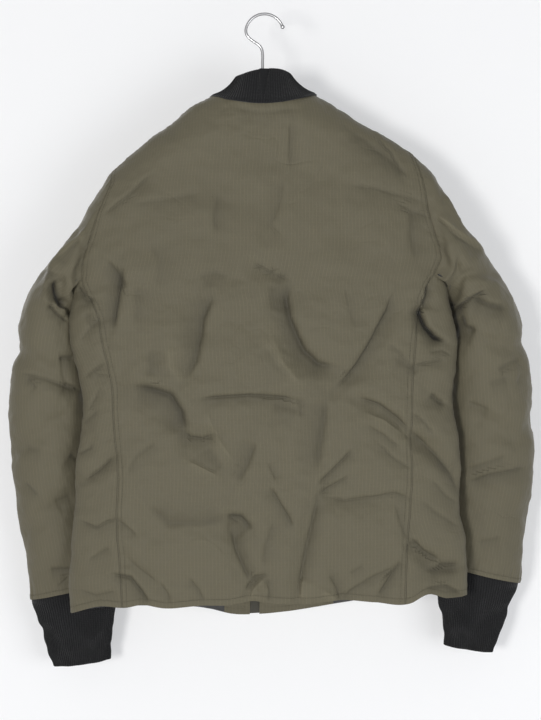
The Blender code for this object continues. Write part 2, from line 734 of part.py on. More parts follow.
def ribbed_wall(outer, inner, closed):
    """A wall with four outer points for each inner one. Both are rings, from the seam to the free edge."""
    rows, fine = outer.shape[:2]
    coarse = inner.shape[1]
    points = np.vstack([outer.reshape(-1, 3), inner.reshape(-1, 3)])
    start = rows * fine
    fine_steps = fine if closed else fine - 1
    coarse_steps = coarse if closed else coarse - 1
    faces = []

    def at_outer(row, k):
        return row * fine + k % fine

    def at_inner(row, k):
        return start + row * coarse + k % coarse

    def skin(at, row, k):
        return at(row, k), at(row + 1, k), at(row + 1, k + 1), at(row, k + 1)

    for row in range(rows - 1):
        faces += [skin(at_outer, row, k) for k in range(fine_steps)]
        faces += [skin(at_inner, row, k)[::-1] for k in range(coarse_steps)]
    for row, turned in ((0, False), (rows - 1, True)):
        for k in range(coarse_steps):
            near, far = at_inner(row, k), at_inner(row, k + 1)
            rim = [at_outer(row, 4 * k + j) for j in range(5)]
            fan = [(rim[j], rim[j + 1], near if j < 2 else far) for j in range(4)]
            fan.append((near, rim[2], far))
            faces += [face[::-1] if turned else face for face in fan]
    if not closed:
        for row in range(rows - 1):
            for k, end, turned in ((0, 0, False), (fine - 1, coarse - 1, True)):
                side = (at_outer(row, k), at_inner(row, end), at_inner(row + 1, end), at_outer(row + 1, k))
                faces.append(side[::-1] if turned else side)
    return points, faces


def cuff_wall(side):
    """A rib tube: ovals whose every other point stands out by the rib's height."""
    sign = 1 if side == "left" else -1
    source = with_run(CUFF[side])
    at = source["run"]
    outer_turns = np.linspace(0, 2 * math.pi, 2 * CUFF_RIBS, endpoint=False)
    inner_turns = outer_turns[::4]
    outer = ovals(source, at, "run", outer_turns, sign)
    way = unit(outer - outer.mean(axis=1, keepdims=True))
    outer[:, 1::2] += way[:, 1::2] * RIB_RAISE
    inner = ovals(source, at, "run", inner_turns, sign)
    inner -= unit(inner - inner.mean(axis=1, keepdims=True)) * RIB_WALL
    return ribbed_wall(outer, inner, closed=True)


def neck_line(back, left, right):
    """The neck edge, from the zip round the left side and the back to the zip again."""
    start = SHOULDER_COLUMNS
    around_back = back[-1, start : start + BACK_NECK_COLUMNS + 1]
    return np.vstack([left[-1, start:][::-1], around_back[1:-1], right[-1, start:]])


def collar_wall(neck):
    """The collar: a rib band that stands on the neck edge and leans in to the table's top line."""
    near, far = COLLAR_END_TURN, 360 - COLLAR_END_TURN
    known_turn = np.concatenate(
        [
            np.linspace(near, 90, FRONT_NECK_COLUMNS + 1),
            np.linspace(90, 270, BACK_NECK_COLUMNS + 1)[1:],
            np.linspace(270, far, FRONT_NECK_COLUMNS + 1)[1:],
        ]
    )
    run = np.concatenate([[0], np.cumsum(np.linalg.norm(np.diff(neck, axis=0), axis=1))])

    def rings(share):
        base = np.stack([np.interp(share * run[-1], run, neck[:, k]) for k in range(3)], axis=-1)
        turn = np.interp(share * run[-1], run, known_turn)
        top = np.stack([column(COLLAR_TOP, name, turn, "turn") for name in ("x", "y", "z")], axis=-1)
        edge = ZIP_WIDTH / 2 + ZIP_GAP
        top[:, 0] = np.where(share < 0.5, np.maximum(top[:, 0], edge), np.minimum(top[:, 0], -edge))
        rise = unit(top - base)
        along = np.gradient(base, axis=0)
        out = unit(np.cross(rise, along))
        base = base + rise * COLLAR_LIFT
        from_zip = np.minimum(share, 1 - share)[:, None]
        middle = (base + top) / 2 + out * COLLAR_BULGE * ease(from_zip / COLLAR_BULGE_FADE)
        return np.stack([base, middle, top]), out

    outer, out = rings(np.linspace(0, 1, 2 * COLLAR_RIBS + 1))
    outer[:, 1::2] += out[None, 1::2] * RIB_RAISE
    inner, inner_out = rings(np.linspace(0, 1, COLLAR_RIBS // 2 + 1))
    inner -= inner_out[None] * RIB_WALL
    points, faces = ribbed_wall(outer, inner, closed=False)
    return points, faces, outer[:, 0], outer[:, -1]


# --------------------------------------------------------------------------------------------------
# Zip


def zip_line(left_edge, right_edge, collar_left, collar_right):
    """The zip's rows, from the hem to the collar's top: left edge, middle and right edge of each."""
    left = np.vstack([left_edge, collar_left[1:]])
    right = np.vstack([right_edge, collar_right[1:]])
    for edge in (left, right):
        edge[0] += (edge[1] - edge[0]) * ZIP_HEM_SHORT
        edge[-1] += (edge[-2] - edge[-1]) * ZIP_TOP_SHORT
    share = ZIP_GAP / (ZIP_WIDTH + 2 * ZIP_GAP)
    return np.stack([left + (right - left) * f for f in (share, 0.5, 1 - share)], axis=1)


def zip_tape_wall(line):
    points, faces = grid_sheet(line)
    normals = unit(point_normals(points, faces))
    outer = points - normals * ZIP_RECESS
    no_seam = np.zeros(len(points), bool)
    return wall_of(outer, faces, normals, no_seam, ZIP_WALL)


# --------------------------------------------------------------------------------------------------
# Making objects


def material(name):
    made = bpy.data.materials.get(name)
    if made:
        return made
    made = bpy.data.materials.new(name)
    made.use_nodes = True
    shader = made.node_tree.nodes["Principled BSDF"]
    finish = FINISHES[name]
    shader.inputs["Base Color"].default_value = (*finish["colour"], 1)
    shader.inputs["Roughness"].default_value = finish["roughness"]
    shader.inputs["Metallic"].default_value = finish["metallic"]
    return made


def facing_out(points, faces):
    """The faces of a closed body, all turned round if its volume comes out below 0."""
    volume = 0.0
    for face in faces:
        for k in range(1, len(face) - 1):
            volume += np.dot(points[face[0]], np.cross(points[face[k]], points[face[k + 1]]))
    return faces if volume > 0 else [face[::-1] for face in faces]


def add_object(name, points, faces, finish):
    mesh = bpy.data.meshes.new(name)
    faces = facing_out(np.asarray(points), faces)
    mesh.from_pydata((np.asarray(points) * MM).tolist(), [], [tuple(map(int, face)) for face in faces])
    mesh.materials.append(material(finish))
    mesh.shade_smooth()
    mesh.set_sharp_from_angle(angle=math.radians(SHARP_ANGLE))
    added = bpy.data.objects.new(name, mesh)
    bpy.context.scene.collection.objects.link(added)
    return added


def add_bmesh(name, work, finish):
    mesh = bpy.data.meshes.new(name)
    bmesh.ops.recalc_face_normals(work, faces=work.faces)
    work.to_mesh(mesh)
    work.free()
    mesh.materials.append(material(finish))
    mesh.shade_smooth()
    mesh.set_sharp_from_angle(angle=math.radians(SHARP_ANGLE))
    added = bpy.data.objects.new(name, mesh)
    bpy.context.scene.collection.objects.link(added)
    return added


def add_cloth():
    """The body, sleeves, collar and cuffs. Gives back what the zip needs."""
    back_lower, back_upper = back_grids()
    fronts = {side: front_grids(side) for side in ("left", "right")}
    pieces = {"back": welded([grid_sheet(back_lower), grid_sheet(back_upper, flip=True)])}
    for side, (lower, upper) in fronts.items():
        flip = side == "left"
        pieces[f"front_{side}"] = welded([grid_sheet(lower, flip), grid_sheet(upper, not flip)])
    sleeve_sheets, heights = {}, {}
    for side, (lower, upper) in fronts.items():
        loop = armhole_loop(back_upper, upper, lower[0], side)
        sleeve_sheets[side], heights[side] = sleeve_grid(side, loop)
        pieces[f"sleeve_{side}"] = grid_sheet(sleeve_sheets[side], flip=side == "right")
    body = ("back", "front_left", "front_right")
    plain = dict(pieces)
    normals = shared_normals(pieces)
    for name in body:
        points, faces = pieces[name]
        pieces[name] = (body_folds(points, normals[name][0]), faces)
    for side in ("left", "right"):
        name = f"sleeve_{side}"
        points, faces = pieces[name]
        moved = points + normals[name][0] * heights[side].reshape(-1, 1)
        rings = moved.reshape(sleeve_sheets[side].shape)
        rings[0] = body_folds(rings[0], normals[name][0][: rings.shape[1]])
        sleeve_sheets[side] = rings
        pieces[name] = welded([(rings.reshape(-1, 3), faces)])
    normals = shared_normals(pieces)

    neck = neck_line(back_upper, fronts["left"][1], fronts["right"][1])
    edges = []
    for side, front in fronts.items():
        name = f"front_{side}"
        edges.append(zip_edge(front, plain[name][0], pieces[name][0]))
    for name, (points, faces) in pieces.items():
        piece_normals, on_seam = normals[name]
        planar, pulled = (), ()
        if name.startswith("sleeve"):
            last = sleeve_sheets[name.removeprefix("sleeve_")][-1]
            plane = ring_plane(last)
            ends = np.where(np.abs((points - last[0]) @ plane) < SAME_PLACE)[0]
            planar = ((ends, plane),)
        else:
            gap = np.linalg.norm(points[:, None] - neck[None], axis=-1).min(axis=1)
            pulled = np.where(gap < SAME_PLACE)[0]
        wall_points, wall_faces = wall_of(points, faces, piece_normals, on_seam, WALL, planar, pulled)
        add_object(name, wall_points, wall_faces, "shell")
    for side in ("left", "right"):
        add_object(f"cuff_{side}", *cuff_wall(side), "rib_knit")
    points, faces, left_end, right_end = collar_wall(neck)
    add_object("collar", points, faces, "rib_knit")
    return (*edges, left_end, right_end)


def prism(name, profile, half_width, place, finish):
    """A profile in the zip's own plane, up along it and out from it, drawn out to both sides along X.

    The object's own origin is the place's.
    """
    origin, up, out = place
    across = np.array((half_width, 0.0, 0.0))
    work = bmesh.new()
    flat = [up * rise + out * reach for rise, reach in profile]
    left, right = ([work.verts.new((point + side) * MM) for point in flat] for side in (across, -across))
    count = len(profile)
    for k in range(count):
        work.faces.new((left[k], left[(k + 1) % count], right[(k + 1) % count], right[k]))
    work.faces.new(left)
    work.faces.new(right)
    added = add_bmesh(name, work, finish)
    added.location = origin * MM
    return added


def combine(target, tool, operation):
    """Join the tool to the target, or cut it away. The tool stays as a hidden guide."""
    tool.hide_render = True
    tool.display_type = "WIRE"
    step = target.modifiers.new(tool.name, "BOOLEAN")
    step.operation = operation
    step.object = tool


def box_profile(low, high, near, far):
    return [(low, near), (low, far), (high, far), (high, near)]


def add_zip(left_edge, right_edge, collar_left, collar_right):
    """The tape, the slider that clips over its top end, and the pull tab on the slider's bail."""
    line = zip_line(left_edge, right_edge, collar_left, collar_right)
    points, faces = zip_tape_wall(line)
    add_object("zip_tape", points, faces, "zip_tape")

    up = unit(line[-1, 1] - line[-2, 1])
    out = unit(np.cross(up, (1.0, 0.0, 0.0)))
    if out[1] > 0:
        out = -out
    face = line[-1, 1] - out * ZIP_RECESS
    near, far = SLIDER_GAP, SLIDER_GAP + SLIDER_PLATE
    back_near, back_far = -ZIP_WALL - SLIDER_GAP, -ZIP_WALL - SLIDER_GAP - SLIDER_PLATE
    clip = [(-SLIDER_DOWN, near), (-SLIDER_DOWN, far), (SLIDER_UP, far), (SLIDER_UP, back_far)]
    clip += [(-SLIDER_DOWN, back_far), (-SLIDER_DOWN, back_near), (SLIDER_GAP, back_near), (SLIDER_GAP, near)]
    slider = prism("zip_slider", clip, SLIDER_HALF_WIDTH, (face, up, out), "zip_metal")

    low, high, clear, bar = BAIL["low"], BAIL["high"], BAIL["clear"], BAIL["bar"]
    sunk = -SLIDER_PLATE / 2
    arch = [(low, sunk), (low, clear + bar), (high, clear + bar), (high, sunk)]
    arch += [(high - bar, sunk), (high - bar, clear), (low + bar, clear), (low + bar, sunk)]
    on_slider = (face + out * far, up, out)
    combine(slider, prism("bail_guide", arch, BAIL_HALF_WIDTH, on_slider, "zip_metal"), "UNION")

    pivot = face + out * (far + clear / 2) + up * (low + bar + SLIDER_GAP + PULL_BAR)
    at_pivot = (pivot, up, out)
    half = PULL_THICK / 2
    plate = box_profile(-PULL_LENGTH, PULL_BAR, -half, half)
    pull = prism("zip_pull", plate, PULL_HALF_WIDTH, at_pivot, "zip_metal")
    eye = box_profile(-PULL_EYE_LENGTH, -PULL_BAR, -2 * half, 2 * half)
    combine(pull, prism("eye_guide", eye, PULL_EYE_HALF_WIDTH, at_pivot, "zip_metal"), "DIFFERENCE")


def add_hanger_arms():
    """The arms: a bar that follows the inside of the shoulders, round on top and flat underneath."""
    x = np.linspace(ARM_REACH[0], -ARM_REACH[1], ARM_STEPS + 1)
    ridge = column(SHOULDER, "z", x, key="x")
    drop = (WALL + ARM_CLEARANCE) * np.hypot(1, np.gradient(ridge, x))
    crest = np.minimum(ridge - drop, ARM_CREST)
    y = np.linspace(1, -1, ARM_TOP_POINTS) * ARM_HALF_DEPTH
    depth = np.minimum(column(BODY, "back", ridge), column(BODY, "front", ridge))
    bow = (1 - (np.abs(x) / BODY["right"][0]) ** FRONT_POWER) ** (1 / FRONT_POWER)
    inside = depth * bow - WALL - ARM_SIDE_CLEARANCE
    fall = SHOULDER_ROLL * (1 - np.sqrt(1 - (y[None, :] / inside[:, None]) ** 2))
    top = np.stack(np.broadcast_arrays(x[:, None], y[None, :], crest[:, None] - fall), axis=-1)
    under_y = np.array((-ARM_FOOT, ARM_FOOT)) * ARM_HALF_DEPTH
    under = np.stack(np.broadcast_arrays(x[:, None], under_y[None, :], crest[:, None] - ARM_THICK), axis=-1)
    rings = np.concatenate([top, under], axis=1)
    work = bmesh.new()
    corners = [[work.verts.new(point * MM) for point in ring] for ring in rings]
    around = len(corners[0])
    for near, far in zip(corners, corners[1:]):
        for k in range(around):
            work.faces.new((near[k], near[(k + 1) % around], far[(k + 1) % around], far[k]))
    work.faces.new(corners[0])
    work.faces.new(corners[-1])
    add_bmesh("hanger_arms", work, "hanger_wood")


def hook_path():
    """The wire's middle line: the hook's arc, a short slant, a bend, and the stem."""
    centre = -(HOOK_RADIUS - WIRE / 2)
    turns = np.radians(np.linspace(HOOK_TIP_TURN, HOOK_NECK_TURN, HOOK_STEPS))
    arc = [(HOOK_RADIUS * math.cos(t), centre + HOOK_RADIUS * math.sin(t)) for t in turns]
    stem = [HOOK_STEM, (HOOK_STEM[0], HOOK_FOOT)]
    return np.array([(x, 0.0, z) for x, z in [*arc, *HOOK_SLANT, *stem]])


def wire_ring(middle, way, radius):
    """A ring of points about the wire's middle line."""
    turns = np.linspace(0, 2 * math.pi, WIRE_SIDES, endpoint=False)[:, None]
    sideways = np.array((0.0, 1.0, 0.0))
    return middle + (np.cos(turns) * np.cross(way, sideways) + np.sin(turns) * sideways) * radius


def add_hook():
    """The wire hook with a small ball on its open end."""
    points = hook_path()
    along = unit(np.gradient(points, axis=0))
    along[-2:] = (0, 0, -1)
    half_ball = TIP_BALL / 2
    rings = []
    for turn in np.radians(BALL_TURNS)[::-1]:
        middle = points[0] - along[0] * (math.cos(turn) + BALL_OUT) * half_ball
        rings.append(wire_ring(middle, along[0], math.sin(turn) * half_ball))
    rings += [wire_ring(point, way, WIRE / 2) for point, way in zip(points, along)]
    work = bmesh.new()
    corners = [[work.verts.new(point * MM) for point in ring] for ring in rings]
    for near, far in zip(corners, corners[1:]):
        for k in range(WIRE_SIDES):
            work.faces.new((near[k], near[(k + 1) % WIRE_SIDES], far[(k + 1) % WIRE_SIDES], far[k]))
    work.faces.new(corners[0])
    work.faces.new(corners[-1])
    add_bmesh("hanger_hook", work, "chrome")


def main():
    for old in list(bpy.data.objects):
        bpy.data.objects.remove(old)
    add_zip(*add_cloth())
    add_hanger_arms()
    add_hook()


main()
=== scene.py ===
"""Dresses the packed bomber jacket: its cloth, sewing, rib knit, zip and hanger, and a pale studio.

Axes: +Z up, the garment's front faces -Y, its back faces +Y, and +X is the wearer's left.
The origin is the inside top of the hook. Tables and sizes are in millimetres; meshes are made in metres.

Each cloth panel is a fine grid of points worked out from the tables below. Its outer face takes the folds,
the creases and the sewing's relief, and its inner face is the same grid moved in by the cloth's thickness.
"""

import math
from functools import lru_cache

import bpy
import numpy as np
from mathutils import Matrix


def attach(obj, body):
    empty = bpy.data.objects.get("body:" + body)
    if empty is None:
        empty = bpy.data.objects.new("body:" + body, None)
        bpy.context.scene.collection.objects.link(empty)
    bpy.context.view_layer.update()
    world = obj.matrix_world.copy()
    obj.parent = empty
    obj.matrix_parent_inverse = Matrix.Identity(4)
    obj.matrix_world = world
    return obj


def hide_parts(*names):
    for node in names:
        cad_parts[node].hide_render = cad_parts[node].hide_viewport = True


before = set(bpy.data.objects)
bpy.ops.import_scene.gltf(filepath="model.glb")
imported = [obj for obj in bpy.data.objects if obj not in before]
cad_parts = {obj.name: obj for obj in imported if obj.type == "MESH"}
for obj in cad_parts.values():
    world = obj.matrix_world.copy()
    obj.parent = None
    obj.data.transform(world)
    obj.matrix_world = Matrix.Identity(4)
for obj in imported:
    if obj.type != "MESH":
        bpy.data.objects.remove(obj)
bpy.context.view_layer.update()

bl_info = {
    "name": "Padded bomber jacket",
    "version": (1, 0, 0),
    "blender": (4, 5, 0),
    "location": "View3D > Sidebar > Jacket",
    "description": "Cloth, rib knit, zip, sewing and hanger of a lightly padded bomber jacket",
    "category": "Object",
}

MM = 0.001
TURN = 2 * math.pi
BODY_NAME = "jacket"
SIDES = {"left": 1, "right": -1}  # the wearer's sides, and the sign of x there
CLOTH_MAP = "cloth"
FAR = 999.0  # a distance that nothing reaches

# Cloth
WALL = 3.5  # shell, wadding and lining together
RIB_WALL = 3.0
SEAM_GAP = 0.32  # between the two panels of a seam
CUFF_RIBS = 84
COLLAR_RIBS = 116
COLLAR_LIFT = -2.6  # the collar starts this far below the neck edge, inside the wall
COLLAR_BULGE = 3.0
COLLAR_BULGE_FADE = 0.1  # the share of the collar's length, at each end, over which it dies out
COLLAR_END_TURN = 4.0  # degrees from the front to the collar's end
HEM_FACING = 32.0  # how far up inside the hem the shell's own cloth is turned
ZIP_FACING = {"left": 34.0, "right": 100.0}  # the olive facing inside each front, beside the zip

# Zip
ZIP_WIDTH = 12.0
ZIP_GAP = 0.4
ZIP_EDGE = ZIP_WIDTH / 2 + ZIP_GAP  # from the zip's middle to each front's edge
ZIP_RECESS = 0.9  # how deep the tape lies between the fronts
TAPE_UNDER = 0.16  # how far the tape runs on inside the fronts, as a share of the zip's width
ZIP_WALL = 2.2
ZIP_HEM_SHORT = 1.2  # how far the zip ends short of the hem and of the collar's top
ZIP_TOP_SHORT = 5.4
ZIP_HEM = -796.0
ZIP_SHIFT_AT_HEM = 14.0  # how far to the left the zip's middle is at the hem
TAPE_STEP = 2.0  # between the tape's rows of points
TAPE_COLUMNS = 17
TAPE_CORD = 0.5  # how high the tape's cords stand beside the teeth, and how deep the slot between them is
CORD_PLACE = 2.4  # from the zip's middle
CORD_WIDTH = 0.8
TAPE_SLOT = 0.05  # the slot's width, as a share of half the tape's
TOOTH_SQUARE = 0.6  # how square a tooth is: 1 is round, 0 has sharp corners
TOOTH_RINGS = ((-1.0, 0.55), (-0.6, 1.0), (0.6, 1.0), (1.0, 0.55))  # each ring's height and width
TOOTH_STAGGER = 0.22  # how far each tooth is off the middle, against its width
TOOTH_SUNK = 0.35  # how deep its foot is in the tape

# Hanger
WIRE = 3.7
HOOK_RADIUS = 25.0
HOOK_TIP_TURN = 157.0  # degrees round the hook's arc, from +X, at its open end and where the slant starts
HOOK_NECK_TURN = 12.0
HOOK_SLANT = (
    (24.6, -21.4), (23.5, -25.6), (20.2, -30.0), (14.4, -34.5), (8.8, -38.4), (5.2, -41.9), (3.4, -45.8),
)
HOOK_STEM = ((2.6, -51.0), (2.6, -62.0))
HOOK_STRAIGHT = (-66.0, -113.7)  # the stem's straight end, down inside the arms
HOOK_STEPS = 90
SLANT_STEPS = 40
ARC_SHARED = 6  # points of the arc that the slant's curve starts from, so that they meet smoothly
STEM_STEPS = 8
WIRE_BEVEL = 0.2
TIP_BALL = 5.4  # the diameter of the ball on the hook's open end
BALL_STEPS = 14
BALL_TURNS = (4, 125)  # degrees from its far point, from almost a point to inside the wire
BALL_OUT = 0.75  # how far past the wire's end its middle is, in radii
ARM_REACH = (182.0, 176.0)  # how far the arms go to the left and to the right
ARM_HALF_DEPTH = 14.0
ARM_THICK = 15.0
ARM_CREST = -114.0  # the arms' highest point
ARM_CLEARANCE = 0.8  # between the arms' top and the cloth
ARM_SIDE_CLEARANCE = 5.0
ARM_UNDER_NARROW = 0.96  # how wide the arms are underneath, against their top
ARM_UNDER_ROUND = 4.0
ARM_END = 5.0  # the rounded ends' length
ARM_RINGS = 121
ARM_COLUMNS = 17
ARM_TIP = 0.02  # where the rounding stops short of a point

# Grid: how many steps each stretch of cloth has
UPPER_ROWS = 62
LOWER_ROWS = 172
SHOULDER_COLUMNS = 52
BACK_NECK_COLUMNS = 48
FRONT_NECK_COLUMNS = 32
SIDE_COLUMNS = 32
SLEEVE_ROWS = 176
FINE_COLUMNS = 160  # points that a row's length is measured with
COLLAR_END_ROWS = 12  # points up each end of the collar
ROW_CROWDING = 1.9  # how much closer together the rows are near the shoulders
RIB_STEPS = 6  # points that each rib has round the band

# Shape
BACK_POWER = 2.6  # how square the body's section is: 2 is an ellipse
FRONT_POWER = 2.2
SHOULDER_ROLL = 55.0  # the height over which the body rounds in to the shoulder line
SLEEVE_BACK_TURN = 125.0  # degrees of a sleeve's top ring along the back's armhole, and under the arm
SLEEVE_SIDE_TURN = 110.0
ARMHOLE_FADE = 0.32  # the share of a sleeve over which the armhole's shape turns into its ovals
ARMHOLE_BLEND = 26.0  # the body's folds run on into the sleeve over this length
FOLD_EASE = (60.0, 40.0)  # a sleeve's folds grow from its armhole and die out to its cuff over these lengths
FOLD_FACING = (0.1, 0.5)  # how far a surface faces back or front where folds start to show, and show in full
SHARPEST_SEAM = 0.6  # keeps the wall from thickening too much where normals meet at a slant

# Sewing relief
SEAM_DIP = 0.22
SEAM_WIDTH = 2.0
STITCH_DIP = 0.25
STITCH_WIDTH = 1.5
SEAM_LINES = (1.9, 7.4)  # how far from its edge each line of stitches is: the double stitching beside a seam
HEM_LINES = (8.0,)
CUFF_LINES = (6.2,)
ZIP_LINES = (8.0,)
PUCKER_PLACE = 0.6  # how far from its edge a pucker is highest, as a share of its reach
PUCKER_START = 30.0  # a front armhole's puckers grow over this length from the underarm
FRONT_SEED = {"left": 20, "right": 40}
SLEEVE_SEED = {"left": 80, "right": 60}


# Creases' shape
CREASE_TAPER = 0.2  # the share of a crease's length, at each end, over which it dies out
CREASE_END = 0.25  # how much of it is left at its very ends
CREASE_LEAN = (0.25, 1.25)  # how steep its lower and its upper side are, against its width
PAINTED_SHADE_LEAN = (0.38, 1.8)  # the same for the shade painted beside it
PAINTED_SHADE_BESIDE_CREASE = 0.072  # painted shade: how much darker the colour is painted beside a crease 1 mm deep, and lighter beside a ridge
LINE_LEAN = (0.8, 1.25)  # and for the shader's line
CREASE_CORE = 0.5  # the shader's line, as a share of the crease's width
CREASE_CORE_DEEP = 0.4
CREASE_PAINTED_SHADE = 0.04  # painted shade: how much darker the colour is painted in a crease 1 mm deep, and lighter on a ridge
LINE_WIDTH = 0.8  # a line of stitches in the shader: its width, its depth and its shade
LINE_DEEP = 0.25
LINE_SHADE = 0.03
JOINT_SHADE = 0.2  # the line where two panels meet
JOINT_WIDTH = 0.9
SECOND_LINE = 0.35  # how strong the outer line of a double stitching is, against the inner one
DARKEST_PAINTED_SHADE = 0.14  # no painted crease shade makes the colour darker than this share of the cloth's own
LOWER_WAY = (-0.45, -0.9)  # which side of a crease is its lower one

# Undulation: seed, number of waves, shortest, longest, and the longest one's height
SOFT_WAVES = (11, 26, 34.0, 110.0, 0.4)
SMALL_WAVES = (12, 34, 7.0, 26.0, 0.12)
CUFF_WAVES = (13, 18, 14.0, 46.0, 0.65)
COLLAR_WAVES = (14, 14, 24.0, 70.0, 0.3)

# Rib bands
CUFF_ROWS = 34  # down each face
COLLAR_ROWS = 20
BAND_EDGE_ROWS = 5  # points round a band's free edge
CUFF_OVAL = 720  # points round a cuff's oval, before they are evened out
RIB_ROUND = 0.7  # the power that rounds a rib
RIB_START = 8  # the ribs reach their full height at one part in this many of the band's length
GATHER_START = 2.2  # the same for a cuff's gathers
CUFF_TUCK = (0.9, 3.0)  # how deep and how far the sewn edge is drawn thin
COLLAR_TUCK = (0.8, 2.6)
COLLAR_CALM = 8  # the collar's waves die out over one part in this many of its length, beside the zip

# One stitch
STITCH_RINGS = (-1.0, -0.6, 0.6, 1.0)  # where its four rings lie, from end to end
STITCH_END = 0.08  # keeps its end rings from closing to a point
STITCH_FLAT = 1.4  # how wide and how high its section is, against the thread
STITCH_ROUND = 1.1
STITCH_ARCH = 0.75  # how high its middle stands and how deep it sinks in, in thread widths
STITCH_SUNK = 0.25

# The shader's inputs and the mesh's attributes that feed them
SEWN_FIELDS = (
    ("Crease", "crease"),
    ("Depth", "crease_depth"),
    # the shade painted into the colour beside each crease
    ("Painted Shade Beside", "painted_crease_shade"),
    ("Seam", "from_seam"),
    ("Edge", "from_edge"),
)


def table(columns, *rows):
    """A table with named columns, as one array for each column."""
    return dict(zip(columns.split(), np.array(rows, float).T))


def fold_table(*rows):
    """A table of folds. A row has a fold's depth and width, then two numbers for each point of its path."""
    return [{"deep": row[0], "wide": row[1], "path": list(zip(row[2::2], row[3::2]))} for row in rows]


BODY = table(
    "z left right back front middle",
    (-90, 262, 256, 40, 34, 0), (-150, 262, 256, 40, 38, 0), (-207, 262, 256, 38, 40, 0),
    (-280, 259, 250, 44, 44, 1), (-361, 253, 242, 48, 50, 4), (-396, 257, 248, 50, 52, 4),
    (-429, 255, 253, 51, 53, 4), (-456, 249, 251, 52, 54, 4), (-508, 239, 248, 52, 54, 4),
    (-551, 242, 254, 51, 54, 4), (-600, 248, 258, 51, 54, 4), (-667, 252, 260, 51, 54, 4),
    (-702, 254, 265, 50, 53, 3), (-761, 258, 267, 47, 50, 2), (-800, 255, 267, 44, 48, 1),
)
BACK_SEAM = table(
    "z left right",
    (-340, 243, 228), (-358, 236, 214), (-386, 221, 206), (-424, 213, 199), (-481, 201, 194),
    (-548, 196, 193), (-600, 191, 193), (-661, 193, 190), (-722, 189, 186), (-790, 185, 183),
)
SHOULDER = table(
    "x z",
    (-330, -372), (-289, -307), (-250, -247), (-222, -203), (-196, -184), (-155, -158), (-126, -143),
    (-92, -120), (-66, -105), (-40, -93), (0, -88), (40, -94), (69, -108), (103, -128), (120, -141),
    (160, -171), (203, -207), (227, -236), (256, -285), (330, -400),
)
SHOULDER_POINT = {"left": 203.0, "right": -196.0}
NECK_POINT = {"left": 69.0, "right": -66.0}
BACK_NECK = table("x z", (69, -108), (45, -114.5), (0, -119), (-45, -113), (-66, -105))
FRONT_NECK = table("x z", (69, -108), (64, -124), (52, -143), (35, -158), (18, -168), (0, -171))
ARMHOLE_BACK_LEFT = table("x z", (237, -325), (227, -294), (219, -266), (209, -242), (202, -226))
ARMHOLE_BACK_RIGHT = table("x z", (231, -320), (223, -290), (215, -263), (210, -231), (204, -207))
ARMHOLE_FRONT = table("x z", (214, -330), (201, -300), (194, -265), (194, -235))
FRONT_ARMHOLE_X = {"left": 226.0, "right": 218.0}  # where the armhole meets the front's underarm row
UNDERARM = -347.0
UNDERARM_HALF_WIDTH = 253.0
UNDERARM_TILT = 4.0  # the left underarm is lower and the right one higher, at the body's edge
UNDERARM_DIP = 9.0  # how much lower the side is than the back seam's top
HEM = -778.0  # the hem's usual height, before the hem tables

BACK_HEM = table(
    "x z",
    (-270, -764), (-238, -766), (-213, -760), (-190, -771), (-143, -769), (-99, -766), (-53, -771),
    (-15, -770), (16, -768), (47, -773), (81, -773), (130, -777), (158, -773), (181, -777), (213, -776),
    (260, -789),
)
FRONT_HEM = table(
    "x z",
    (-270, -764), (-235, -766), (-150, -773), (-89, -783), (-35, -792), (6, -796), (44, -796), (74, -789),
    (150, -784), (235, -786), (260, -789),
)

OVAL_COLUMNS = "outer_x outer_z inner_x inner_z middle half_depth"
SLEEVE = {
    "left": table(
        OVAL_COLUMNS,
        (203, -207, 250, -358, -2, 34), (224, -239, 250, -361, -4, 38), (252, -288, 249, -366, -7, 45),
        (284, -325, 246, -374, -16, 49), (312, -361, 243, -388, -22, 51), (327, -405, 242, -422, -28, 51),
        (338, -458, 238, -472, -34, 50), (342, -512, 232, -524, -40, 48), (342, -550, 231, -556, -44, 47),
        (338, -613, 234, -612, -51, 45), (330, -680, 228, -668, -57, 43), (321, -740, 212, -718, -63, 42),
        (317, -779, 200, -752, -66, 39),
    ),
    "right": table(
        OVAL_COLUMNS,
        (196, -184, 240, -351, -2, 34), (219, -207, 240, -354, -4, 38), (246, -250, 239, -358, -7, 45),
        (281, -301, 236, -364, -15, 49), (318, -350, 234, -376, -22, 51), (340, -392, 236, -396, -27, 51),
        (352, -440, 242, -436, -33, 50), (357, -490, 244, -482, -38, 48), (362, -545, 245, -536, -43, 47),
        (363, -602, 248, -592, -48, 45), (358, -645, 248, -634, -52, 44), (350, -700, 241, -684, -57, 42),
        (344, -756, 229, -728, -62, 39),
    ),
}
CUFF = {
    "left": table(
        OVAL_COLUMNS,
        (317, -779.4, 200, -752.4, -66, 38), (303, -814, 205, -812, -68, 33), (287, -870, 212, -861, -71, 29),
    ),
    "right": table(
        OVAL_COLUMNS,
        (344, -756.4, 229, -728.4, -62, 38), (325, -799, 239, -795, -65, 33), (312, -850, 247, -841, -67, 29),
    ),
}
COLLAR_TOP = table(
    "turn x y z",
    (0, 1, -33, -128), (45, 27, -26, -112), (90, 38, -5, -87), (135, 27, 14, -80.5), (180, 0, 23, -74),
    (225, -25, 14, -75.5), (270, -35, -5, -85), (315, -25, -26, -112), (360, 1, -33, -128),
)

